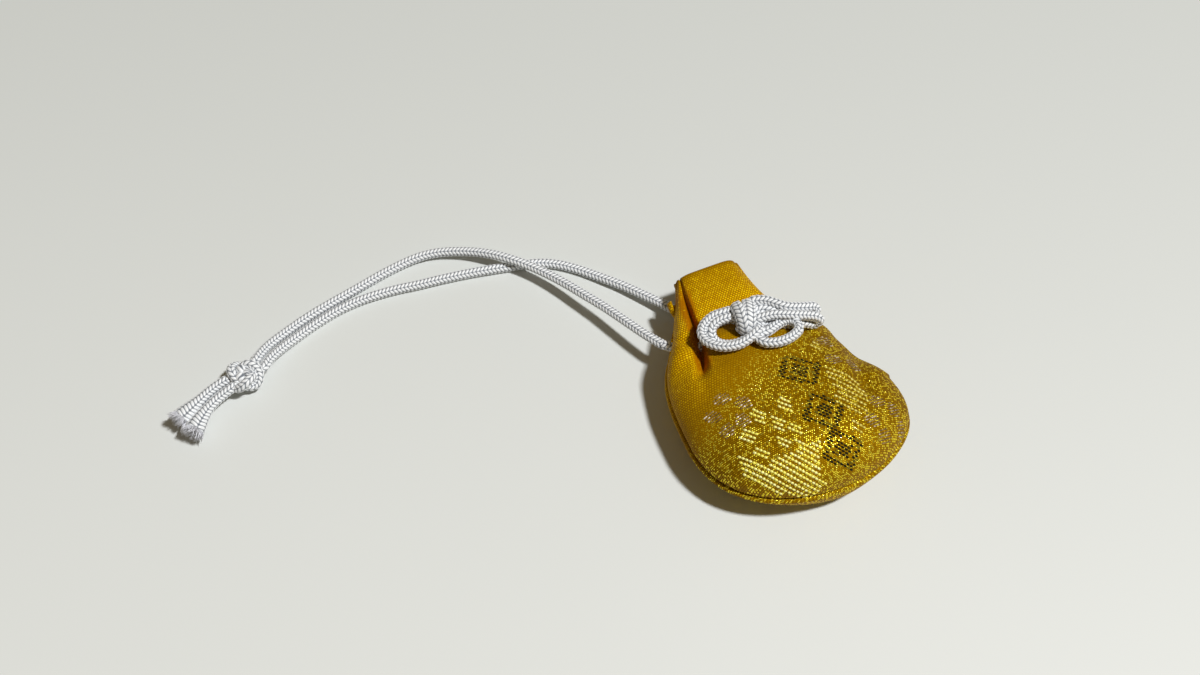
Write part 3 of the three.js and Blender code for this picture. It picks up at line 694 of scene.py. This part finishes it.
BRICKS = [
    [(-15.9, 15.1), (-14.7, 15.1), (-14.2, 14.4), (-12.0, 11.4), (-10.4, 11.5), (-9.5, 11.9), (-8.1, 11.2),
     (-6.8, 11.2), (-5.9, 11.7), (-5.4, 12.4), (-5.5, 13.7), (-5.0, 13.7), (-3.2, 11.2), (-1.7, 11.4), (-1.6, 10.1),
     (-2.8, 9.9), (-3.2, 9.0), (-3.3, 7.6), (-4.2, 6.3), (-3.6, 3.5), (-5.8, 3.2), (-8.6, 3.6), (-10.5, 4.6),
     (-12.0, 6.0), (-14.6, 8.6), (-16.8, 11.9), (-16.3, 13.0)],
    [(-8.3, 21.8), (-7.0, 19.3), (-8.6, 18.0), (-9.8, 20.3)],
    [(-6.2, 18.8), (-4.9, 16.7), (-6.3, 15.2), (-7.7, 17.5)],
    [(-3.0, 22.1), (-1.9, 20.2), (-3.1, 17.7), (-4.7, 20.3)],
    [(-11.5, 19.2), (-10.3, 16.8), (-12.4, 15.6), (-13.4, 17.7)],
    [(-7.3, 15.2), (-6.0, 12.9), (-7.5, 11.5), (-9.0, 13.8)],
    [(-11.5, 15.3), (-10.1, 12.6), (-11.3, 11.8), (-12.8, 14.1)],
    [(-4.3, 16.3), (-3.3, 14.6), (-4.1, 12.8), (-5.4, 15.2)],
    [(7.7, 24.7), (9.3, 23.4), (10.0, 23.4), (11.5, 20.5), (12.5, 18.2), (11.3, 15.8), (10.0, 15.0), (9.6, 13.6),
     (8.4, 13.5), (7.5, 12.8), (4.8, 16.1), (5.7, 18.1), (6.6, 18.6), (6.6, 20.1), (6.9, 21.9)],
    [(6.1, 13.6), (7.5, 11.6), (7.2, 10.3), (5.5, 10.1), (4.5, 11.2)],
    [(9.6, 30.9), (11.2, 30.6), (10.4, 27.8), (9.2, 28.7)]]
LEFT_BRICKS = 8
BRICK_SLANT, BRICK_ROWS, BRICK_STEP, BRICK_SHIFT = -53, (0.86, 1.14), 0.68, 0.1
BRICK_FLOAT = (0.76, 0.5, 0.32)
gold_film, place, feed = new_finish("gold_film", Roughness=0.34, Specular_IOR_Level=1.0,
                                    Specular_Tint=(1.0, 0.9, 0.4, 1))
luck = place.mark("luck")
# Floats on the right of the pouch take darker copies of the film's colours, painted shade for that side; the clear
# colours are the lit copy.
turned = (place.part(0) * 1000).between(2.0, 8.0)
clear = luck.tint((1.0, 0.92, 0.12), (1.0, 1.0, 0.44))
shaded = luck.tint((0.54, 0.43, 0.035), (0.76, 0.66, 0.17))
feed(Base_Color=turned.tint(clear, shaded), Metallic=0.05 + luck * 0.2)
bricks = [floats_in(bands, BRICK_SLANT, row, BRICK_STEP, BRICK_SHIFT)
          for bands, row in zip((BRICKS[:LEFT_BRICKS], BRICKS[LEFT_BRICKS:]), BRICK_ROWS)]
woven("woven_brick_bands", np.concatenate(bricks), BRICK_SLANT, BRICK_FLOAT, gold_film)
PETALS = [
    (-11.2, 26.1), (-9.0, 23.4), (-14.9, 23.8), (-14.5, 20.0), (-11.2, 20.4), (12.5, 14.8), (14.9, 12.8),
    (9.3, 11.7), (10.5, 8.4), (15.6, 9.4), (11.1, 25.8), (14.3, 23.8), (13.3, 30.6)]
PETAL_SLANT, PETAL_SIZE, PETAL_TURN = 6, (3.2, 2.7), 72
PETAL_ROWS, PETAL_STEP, PETAL_SHIFT, PETAL_FLOAT = 0.52, 0.4, 0.2, (0.5, 0.3, 0.16)
silver_film, place, feed = new_finish("silver_film", Roughness=0.35)
luck = place.mark("luck")
# Petals on the right of the pouch are painted duller and spark less, painted shade for that side.
far = (place.part(0) * 1000).between(2.0, 8.0)
dull = luck.between(0.1, 0.75).tint((0.13, 0.072, 0.012), far.tint((0.40, 0.27, 0.09), (0.32, 0.20, 0.05)))
spark = luck.between(0.76, 0.9) * (1 - far * 0.6)
feed(Base_Color=spark.tint(dull, (1.0, 0.93, 0.78)), Metallic=0.1 + luck * 0.3)
petals = [oval(petal, *PETAL_SIZE, PETAL_TURN * k) for k, petal in enumerate(PETALS)]
petals = floats_in(petals, PETAL_SLANT, PETAL_ROWS, PETAL_STEP, PETAL_SHIFT)
woven("woven_flowers", petals, PETAL_SLANT, PETAL_FLOAT, silver_film)
LOZENGES = np.array([(3.7, 25.4), (2.1, 16.1), (1.4, 8.3)])
LOZENGE_REACH, LOZENGE_INNER, LOZENGE_HEART = 4.3, 3.0, 1.9
LOZENGE_ROWS, LOZENGE_STEP, LOZENGE_SHIFT, LOZENGE_FLOAT = 0.56, 0.72, 0.3, (0.74, 0.46, 0.26)
dark_silk, place, feed = new_finish("dark_silk", Specular_IOR_Level=0.12)
luck = place.mark("luck")
feed(Base_Color=luck.between(0.7, 1.0).tint((0.009, 0.009, 0.001), (0.2, 0.16, 0.01)),
     Roughness=0.4 + luck * 0.25)
corners = LOZENGE_REACH * np.array([(0, 1), (1, 0), (0, -1), (-1, 0)])
outlines = [centre + corners for centre in LOZENGES]
lozenges = floats_in(outlines, BRICK_SLANT, LOZENGE_ROWS, LOZENGE_STEP, LOZENGE_SHIFT)
away = np.abs(lozenges[:, None] - LOZENGES).sum(2)
marked = ((away > LOZENGE_INNER) & (away < LOZENGE_REACH)) | (away < LOZENGE_HEART)
woven("woven_lozenges", lozenges[marked.any(1)], BRICK_SLANT, LOZENGE_FLOAT, dark_silk)

# Drawstring: one length of white braided cord, plaited from twelve strands into six columns of leaning
# stitches. It is doubled and tied in a bow over the flap, and its ends run round the neck to the strap.
CORD = 1.9
STITCH, LEAN, RELIEF, COLUMNS = 0.76, 0.8, 0.18, 6
SIDES, RING_STEP = 36, STITCH / 7
white_cord, place, feed = new_finish("white_braid", coords="cord", Specular_IOR_Level=0.45, Sheen_Weight=0.25)
crease = place.mark("crease")
fibre = (place.part(0) * 34.0 + place.part(1) * 60.0).wave()
worn = place.noise(0.6, Detail=3.0)
# The grooves between the stitches are painted a dark grey-blue, painted shade in the plait's hollows, and are
# rougher.
shaded_groove = crease.between(0.3, 0.85)
lit = (fibre * 0.35 + worn * 0.4 + 0.25).tint((0.82, 0.85, 0.88), (0.94, 0.965, 0.99))
feed(Base_Color=shaded_groove.tint(lit, (0.15, 0.17, 0.2)), Roughness=0.3 + shaded_groove * 0.4,
     height=fibre, strength=0.25, depth=0.00005)


def cord_path(points, spacing):
    """Even points along the centripetal curve through points, in mm."""
    p = np.asarray(points, float)
    p = np.concatenate([[2 * p[0] - p[1]], p, [2 * p[-1] - p[-2]]])
    dense = []
    for i in range(1, len(p) - 2):
        a, b, c, d = p[i - 1:i + 3]
        d0, d1, d2 = (max(np.linalg.norm(q - r), 1e-6) ** 0.5 for q, r in ((b, a), (c, b), (d, c)))
        t1 = ((b - a) / d0 - (c - a) / (d0 + d1) + (c - b) / d1) * d1
        t2 = ((c - b) / d1 - (d - b) / (d1 + d2) + (d - c) / d2) * d1
        t = np.linspace(0, 1, 60, endpoint=False)[:, None]
        dense.append(cubic(t, b, c, t1, t2))
    dense = np.concatenate([*dense, p[-2:-1]])
    length = run_along(dense)
    count = max(2, int(round(length[-1] / spacing)))
    even = np.linspace(0, length[-1], count + 1)
    return np.stack([np.interp(even, length, dense[:, k]) for k in range(3)], 1), even


def plait(along, angle):
    """Height of the plait, 0 to 1, at a place along the cord and an angle round it."""
    column = np.floor(angle * COLUMNS / (2 * math.pi) + 1e-6)
    across = angle * COLUMNS / (2 * math.pi) - column - 0.5
    lean = np.where(column % 2 == 0, 1.0, -1.0)
    stitch = np.abs(np.sin(math.pi * (along / STITCH + lean * across * LEAN))) ** 0.8
    return stitch * (1 - 0.7 * (2 * np.abs(across)) ** 3)


def braided(name, points, spread=None, lift=(0, 0, 1), flatten=1.0):
    """A braided cord along points in mm, closed at both ends. spread widens it along its length."""
    route, along = cord_path(points, RING_STEP)
    ahead = np.gradient(route, axis=0)
    ahead /= np.linalg.norm(ahead, axis=1)[:, None]
    up = np.zeros_like(route)
    guide = np.asarray(lift, float)
    for i in range(len(route)):
        guide_here = guide[min(i, len(guide) - 1)] if guide.ndim == 2 else guide
        flat = guide_here - ahead[i] * (guide_here @ ahead[i])
        up[i] = flat / max(np.linalg.norm(flat), 1e-9)
        if guide.ndim == 1:
            guide = up[i]
    side = np.cross(ahead, up)
    angle = np.arange(SIDES) / SIDES * 2 * math.pi
    height = plait(along[:, None], angle[None, :])
    radius = CORD / 2 * (1.02 - RELIEF * (1 - height))
    if spread is not None:
        radius = radius * spread(along / along[-1])[:, None]
    ring = (route[:, None] + (radius * np.cos(angle))[..., None] * side[:, None]
            + (radius * np.sin(angle) * flatten)[..., None] * up[:, None])
    rings = len(route)
    points_all = np.concatenate([ring.reshape(-1, 3), route[:1], route[-1:]])
    around = np.arange(SIDES)
    first = np.arange(rings - 1)[:, None] * SIDES + around
    after = np.arange(rings - 1)[:, None] * SIDES + (around + 1) % SIDES
    walls = np.stack([first, first + SIDES, after + SIDES, after], 2).reshape(-1, 4)
    head, tail = rings * SIDES, rings * SIDES + 1
    last = (rings - 1) * SIDES
    caps = [(head, a, (a + 1) % SIDES) for a in range(SIDES)]
    caps += [(tail, last + (a + 1) % SIDES, last + a) for a in range(SIDES)]
    uv = np.stack(np.broadcast_arrays(along[:, None], angle[None, :] / (2 * math.pi) * 4), 2)
    uv = np.concatenate([uv.reshape(-1, 2), [(along[0], 0.5), (along[-1], 0.5)]])
    piece = new_piece(name, points_all, [*walls.tolist(), *caps], white_cord, uv, "cord")
    # The crease mark is the depth of the plait's grooves, where the cord's material paints shade.
    mark_points(piece, "crease", np.concatenate([1 - height.ravel(), [1, 1]]))
    return piece, route


# Knot: two flattened turns of the same white cord, drawn tight over the flap. They bind the roots of the
# ears, and the cord's own two stretches lie under them as the heart of the knot.
KNOT = np.array([-2.0, 9.2, 16.462])
KNOT_TURN = math.radians(-14)
KNOT_ACROSS = np.array([math.cos(KNOT_TURN), math.sin(KNOT_TURN), 0])
KNOT_ALONG = np.array([-math.sin(KNOT_TURN), math.cos(KNOT_TURN), 0])


def at_knot(points):
    p = np.asarray(points, float)
    return KNOT + p[:, :1] * KNOT_ACROSS + p[:, 1:2] * KNOT_ALONG + p[:, 2:] * np.array([0, 0, 1])


WRAP_STEP, WRAP_ACROSS, WRAP_HIGH, WRAP_MIDDLE = 1.9, 2.5, 1.95, 0.45
WRAP_WIDE, WRAP_FLAT = 1.32, 0.56
turns = np.linspace(0.1, 1.9, 60)
wrap_angle = 2 * math.pi * turns
later = smooth(0.72, 1.28, turns)
to_front = 0.5 + 0.5 * np.sin(wrap_angle)
wrap_shift = WRAP_STEP * (later - 0.5) - 0.3 - 0.75 * later * to_front - 0.7 * (1 - later) * (1 - to_front)
wrap_across = WRAP_ACROSS + 0.5 * later * (1 - to_front)
wrap_points = at_knot(np.stack(
    [wrap_shift, WRAP_MIDDLE - wrap_across * np.sin(wrap_angle), -WRAP_HIGH * np.cos(wrap_angle)], 1))
wrap_route, _ = cord_path(wrap_points, RING_STEP)
wrap, _ = braided("knot_binding", wrap_points, lambda s: WRAP_WIDE + 0 * s, wrap_route - KNOT, WRAP_FLAT)
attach(wrap, "pouch")
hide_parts("knot_wrap")
HEARTS = {
    "knot_heart": [(-3.0, 0.75, 0.0), (-1.0, 0.7, 0.1), (1.0, 0.7, 0.1), (3.0, 0.8, 0.0)],
    "knot_heart_low": [(-1.5, -0.8, -0.2), (-0.6, -0.75, -0.1), (1.0, -0.75, -0.1), (3.0, -0.8, -0.2)]}
for name, local in HEARTS.items():
    stretch, _ = braided(name, at_knot(local))
    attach(stretch, "pouch")
    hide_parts("knot_core")

# Ears of the bow: the doubled cord stands out in a round ear on the left and a longer one that droops over
# the right shoulder. The cord's own bight is the single lower ear.
EARS = {
    "left_ear_outer": ("left_ear", (
        (-0.6, 1.9, -0.3), (-2.29, 2.38, -0.16), (-4.22, 2.07, -0.06), (-5.94, 1.8, -0.26), (-7.39, 0.95, -0.46),
        (-8.44, -0.23, -0.56), (-8.78, -1.57, -0.56), (-8.3, -2.98, -0.46), (-7.23, -4.16, -0.16),
        (-5.92, -4.91, 0.1), (-4.34, -5.26, 0.3), (-2.48, -5.13, 0.5), (-0.67, -4.39, 0.75), (0.75, -3.4, 0.85),
        (1.5, -2.5, 0.4), (1.8, -1.5, -0.2))),
    "left_ear_inner": ("left_ear", (
        (-0.6, 1.0, -0.3), (-2.17, 1.12, -0.1), (-3.6, 0.95, 0.0), (-5.35, 0.55, -0.2), (-6.6, -0.3, -0.45),
        (-7.0, -1.35, -0.8), (-6.75, -2.4, -1.3), (-5.9, -3.15, -1.75), (-4.5, -3.65, -1.85), (-3.02, -3.85, -1.6),
        (-1.52, -3.65, -1.3), (-0.13, -3.1, -1.1), (1.1, -2.45, -0.9))),
    "right_ear_rear": ("right_ear", (
        (0.2, 2.5, 0.2), (1.55, 3.3, 0.8), (2.83, 3.21, 1.0), (4.24, 2.79, 1.05), (5.58, 2.04, 1.05),
        (7.11, 1.3, 0.9), (8.99, 1.1, 0.5), (11.15, 1.2, -0.1), (12.64, 1.5, -0.9), (13.3, 1.3, -1.9),
        (12.3, 1.2, -2.9), (10.0, 1.2, -1.9), (7.6, 0.5, -1.2), (6.0, 0.9, -0.4), (4.4, 1.5, 0.2), (2.8, 1.9, 0.3),
        (1.2, 1.6, 0.0))),
    "right_ear_front": ("right_ear", (
        (0.2, -0.6, 0.3), (1.55, -0.57, 0.74), (3.06, -0.38, 0.94), (4.93, -0.29, 1.04), (6.76, -0.55, 0.94),
        (8.62, -0.75, 0.7), (10.75, -0.75, 0.1), (12.5, -0.8, -0.7), (13.45, -1.0, -1.8), (12.5, -1.05, -2.9),
        (10.0, -1.05, -1.9), (7.4, -1.0, -1.6), (5.3, -0.6, -1.6), (3.4, -0.5, -1.3), (1.4, -0.3, -0.6))),
    "lower_ear": ("lower_ear", (
        (0.0, -2.6, -0.3), (0.5, -3.6, 0.1), (0.95, -4.4, 0.45), (2.03, -5.6, 0.74), (3.77, -6.02, 0.94),
        (5.67, -5.78, 0.94), (7.54, -4.88, 0.74), (8.79, -3.51, 0.44), (8.6, -1.96, 0.04), (7.5, -1.15, -0.3),
        (6.2, -1.2, -0.5), (4.71, -1.95, -0.35), (3.2, -2.91, -0.15), (1.6, -3.2, -0.2), (0.4, -2.4, -0.4))),
}
for name, (body, local) in EARS.items():
    ear, _ = braided(name + "_cord", at_knot(local))
    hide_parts(name)
    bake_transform(ear)

# Neck cord and strap: from the bow one end goes through the left pleat and out at the side seam, the other
# round the back under the collar. Outside they are the two free strands, which cross once.
LEFT_END = [
    (-2.6, 10.4, 13.2), (-3.5, 11.6, 12.7), (-5.4, 11.9, 12.6), (-7.1, 11.4, 12.5), (-8.4, 10.7, 12.1),
    (-9.7, 10.3, 11.2), (-11.2, 10.4, 9.7), (-12.4, 11.5, 8.0), (-13.8, 12.9, 7.4), (-15.25, 14.4, 7.03),
    (-16.1, 15.3, 6.8)]
FRONT_STRAND = [
    (-16.1, 15.3, 6.8), (-18.0, 18.8, 6.2), (-20.2, 23.3, 5.6), (-22.4, 27.8, 5.0), (-25.0, 32.5, 4.4),
    (-27.2, 36.4, 3.9), (-29.6, 40.1, 3.5), (-32.2, 43.4, 3.3), (-35.2, 46.4, 3.3), (-38.3, 49.2, 2.9),
    (-42.5, 52.1, 2.1), (-47.6, 54.3, 1.5), (-51.7, 54.9, 1.2), (-55.9, 54.6, 1.0), (-60.3, 53.8, 1.0),
    (-65.0, 52.7, 1.0), (-71.0, 51.4, 1.0), (-75.7, 50.2, 1.0), (-80.1, 48.7, 1.1), (-84.7, 46.5, 1.8),
    (-86.9, 44.6, 2.7), (-87.85, 43.5, 3.1)]
RIGHT_END = [
    (-0.6, 9.0, 13.2), (0.7, 8.9, 12.6), (2.6, 9.1, 12.6), (4.4, 9.4, 12.2), (5.7, 9.7, 10.9), (6.7, 10.0, 9.6),
    (7.9, 10.4, 8.0), (9.2, 10.7, 7.5), (10.6, 11.0, 6.7), (11.5, 11.2, 5.2), (11.3, 11.4, 3.5), (9.9, 11.7, 2.2),
    (7.2, 12.3, 1.6), (3.4, 13.5, 1.5), (-1.0, 15.7, 1.5), (-4.8, 18.7, 1.7), (-7.8, 21.7, 2.0), (-9.4, 23.3, 2.25),
    (-10.1, 24.3, 2.3)]
REAR_STRAND = [
    (-10.1, 24.3, 2.3), (-12.1, 27.3, 2.0), (-14.3, 30.3, 1.7), (-16.6, 33.3, 1.4), (-19.0, 36.0, 1.2),
    (-21.4, 38.6, 1.0), (-23.9, 41.0, 1.0), (-26.7, 43.1, 1.0), (-29.7, 44.6, 1.0), (-35.1, 46.0, 1.0),
    (-39.3, 46.9, 1.0), (-44.1, 47.8, 1.0), (-49.1, 48.5, 1.0), (-53.5, 49.0, 1.0), (-57.7, 49.6, 1.0),
    (-61.6, 49.9, 1.0), (-65.7, 49.9, 1.0), (-69.9, 49.4, 1.0), (-74.2, 48.3, 1.0), (-78.6, 46.8, 1.1),
    (-82.7, 44.9, 1.8), (-85.4, 43.0, 2.7), (-86.95, 41.5, 3.1)]
END_KNOT = np.array([-90.8, 41.0, 3.3])
END_AIM = np.array([-0.9507, -0.3102, 0.0])
INTO_KNOT, BEND_REACH = 0.65, 7.0
for name, points in (("neck_cord_left", LEFT_END), ("neck_cord_right", RIGHT_END)):
    length, _ = braided(name + "_cord", points)
    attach(length, "pouch")
    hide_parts(name)
strands = []
for name, points in (("strap_strand_front", FRONT_STRAND), ("strap_strand_rear", REAR_STRAND)):
    into_knot = np.array(points[-1]) * (1 - INTO_KNOT) + END_KNOT * INTO_KNOT
    strand, route = braided(name + "_cord", [*points, tuple(into_knot)])
    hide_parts(name)
    turn_end = route[np.argmin(np.abs(np.linalg.norm(route - route[0], axis=1) - BEND_REACH))]
    route[0] * MM
    turn_end * MM
    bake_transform(strand)
    strands.append((strand, route))

# End knot: both strands tied together in one overhand knot and drawn tight into a ball. The doubled cord
# crosses itself three times, so the knot is a pair of trefoils side by side.
KNOT_LOBE, KNOT_HIGH, KNOT_PAIR = 0.62, 1.3, 0.9
knot_side = np.array([-END_AIM[1], END_AIM[0], 0.0])
knot_pieces = []
t = np.linspace(0, 2 * math.pi, 90) + math.pi / 6
trefoil = KNOT_LOBE * np.stack([np.sin(t) + 2 * np.sin(2 * t), np.cos(t) - 2 * np.cos(2 * t)], 1)
run = np.gradient(trefoil, axis=0)
aside = np.stack([-run[:, 1], run[:, 0]], 1) / np.linalg.norm(run, axis=1)[:, None]
for label, shift in (("a", -KNOT_PAIR), ("b", KNOT_PAIR)):
    lobes = trefoil + shift * aside
    loop = END_KNOT + lobes[:, :1] * END_AIM + lobes[:, 1:] * knot_side
    loop[:, 2] -= KNOT_HIGH * np.sin(3 * t)
    turn_piece, _ = braided("end_knot_turn_" + label, loop)
    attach(turn_piece, "strap")
    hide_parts("end_knot")
    knot_pieces.append(turn_piece)

# Tails: the cut ends of the two strands past the knot, side by side. The plait loosens towards the cut and
# spreads into a ragged bell, from which the fibres stand out.
TAILS = {
    "tail_front": (
        (-92.6, 41.5, 3.3), (-94.6, 41.4, 3.2), (-96.5, 40.95, 3.0), (-98.5, 40.1, 3.0), (-100.6, 38.9, 3.1),
        (-102.6, 37.75, 3.2), (-104.2, 36.8, 3.25)),
    "tail_rear": (
        (-92.3, 39.9, 3.3), (-93.9, 39.4, 3.2), (-95.8, 38.8, 3.0), (-97.8, 37.85, 3.0), (-99.6, 36.6, 3.1),
        (-101.2, 35.1, 3.2), (-102.6, 33.6, 3.25)),
}
FLARE, FIBRES, FIBRE_LENGTH, FIBRE_WIDTH = 0.9, 320, 1.5, 0.1
BELL, ROOT_DEPTH = CORD / 2 * (1.2 + FLARE) * 0.92, 0.55
fibre_tree, given, tree_out = node_tree(
    "frayed_fibres", {"Length": "Float", "Width": "Float", "Material": "Material"})
running = stored(fibre_tree, "running")
chance = stored(fibre_tree, "luck", "FLOAT")
turn = tree_node(fibre_tree, "FunctionNodeAlignRotationToVector", {"Vector": running}, axis="Z")
hair = tree_node(fibre_tree, "GeometryNodeMeshCone",
                 {"Vertices": 5, "Radius Top": 0.3, "Radius Bottom": 1.0, "Depth": 1.0})
long = tree_node(fibre_tree, "ShaderNodeMath",
                 {0: given["Length"], 1: chance}, operation="MULTIPLY")
shape = tree_node(fibre_tree, "ShaderNodeCombineXYZ",
                  {0: given["Width"], 1: given["Width"], 2: long})
plant(fibre_tree, given, tree_out, Points=given["Geometry"], Instance=hair,
      Rotation=turn, Scale=shape)
white_fibre, place, feed = new_finish("white_fibre", Roughness=0.55, Sheen_Weight=0.3)
luck = place.mark("luck")
# The fibres vary at random from bluish grey to white; the grey is painted shade among the fibres.
feed(Base_Color=luck.tint((0.36, 0.37, 0.42), (0.78, 0.79, 0.84)))
tails = {}
for name, points in TAILS.items():
    tail, route = braided(name + "_cord", points, spread=lambda s: 1 + 0.2 * s + FLARE * smooth(0.5, 1.05, s))
    aim = route[-1] - route[-6]
    aim /= np.linalg.norm(aim)
    sideways = np.cross(aim, (0, 0, 1))
    over = np.cross(sideways, aim)
    draw = np.random.default_rng(len(name))
    angle = draw.uniform(0, 2 * math.pi, FIBRES)
    out = np.sqrt(draw.uniform(0, 1, FIBRES))
    spoke = (np.cos(angle) * out)[:, None] * sideways + (np.sin(angle) * out)[:, None] * over
    luck = draw.uniform(0.45, 1.0, FIBRES)
    running = aim + 0.5 * spoke + 0.12 * draw.normal(size=(FIBRES, 3))
    roots = route[-1] + spoke * BELL + aim * (luck * FIBRE_LENGTH / 2 - ROOT_DEPTH)[:, None]
    fray = bare_points(name + "_fray", roots, running=running, luck=luck)
    grown(fray, fibre_tree, {"Length": FIBRE_LENGTH * MM, "Width": FIBRE_WIDTH * MM, "Material": white_fibre})
    for piece in (tail, fray):
        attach(piece, "strap")
    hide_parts(name)
    tails[name] = [tail, fray]
ends = ([*knot_pieces, *tails["tail_front"]], tails["tail_rear"])
for (strand, route), extra in zip(strands, ends):
    route[0] * MM
    round(run_along(route)[-1] * MM, 4)
    route[::4] * MM

# Table and light: a plain pale table top, painted greyer towards its far side, a painted falloff of the light.
# One soft lamp stands high on the right, and the room adds a dim, even, warm light.
table_top, place, feed = new_finish("pale_table", Roughness=0.55)
mottle = place.noise(7.0, Detail=3.0)
# Painted falloff: the table's colour darkens away from the camera, as the lamp's light would.
away = (place.part(0) * 0.383 + place.part(1) * 0.924).between(-0.12, 0.16)
near_tint = mottle.tint((0.735, 0.76, 0.745), (0.77, 0.795, 0.78))
feed(Base_Color=away.tint(near_tint, (0.60, 0.625, 0.61)))
TABLE_HALF = 3000
corners = TABLE_HALF * np.array([(-1, -1, 0), (1, -1, 0), (1, 1, 0), (-1, 1, 0)])
floor = new_piece("table_top", corners, [(0, 1, 2, 3)], table_top)
LAMP_AIM, LAMP_FAR, LAMP_SIZE, LAMP_POWER = (0.345, -0.235, 0.88), 3.0, 0.26, 89.0
aim = Vector(LAMP_AIM).normalized()
lamp = bpy.data.objects.new("lamp", bpy.data.lights.new("lamp", "AREA"))
lamp.data.energy = LAMP_POWER
lamp.data.size = LAMP_SIZE
lamp.location = aim * LAMP_FAR
lamp.rotation_euler = (-aim).to_track_quat("-Z", "Y").to_euler()
bpy.context.scene.collection.objects.link(lamp)
room = bpy.data.worlds.new("room")
room.use_nodes = True
glow = room.node_tree.nodes["Background"].inputs
glow["Color"].default_value = (1.0, 0.80, 0.50, 1)
glow["Strength"].default_value = 0.14
bpy.context.scene.world = room
bpy.context.scene.view_settings.view_transform = "Standard"
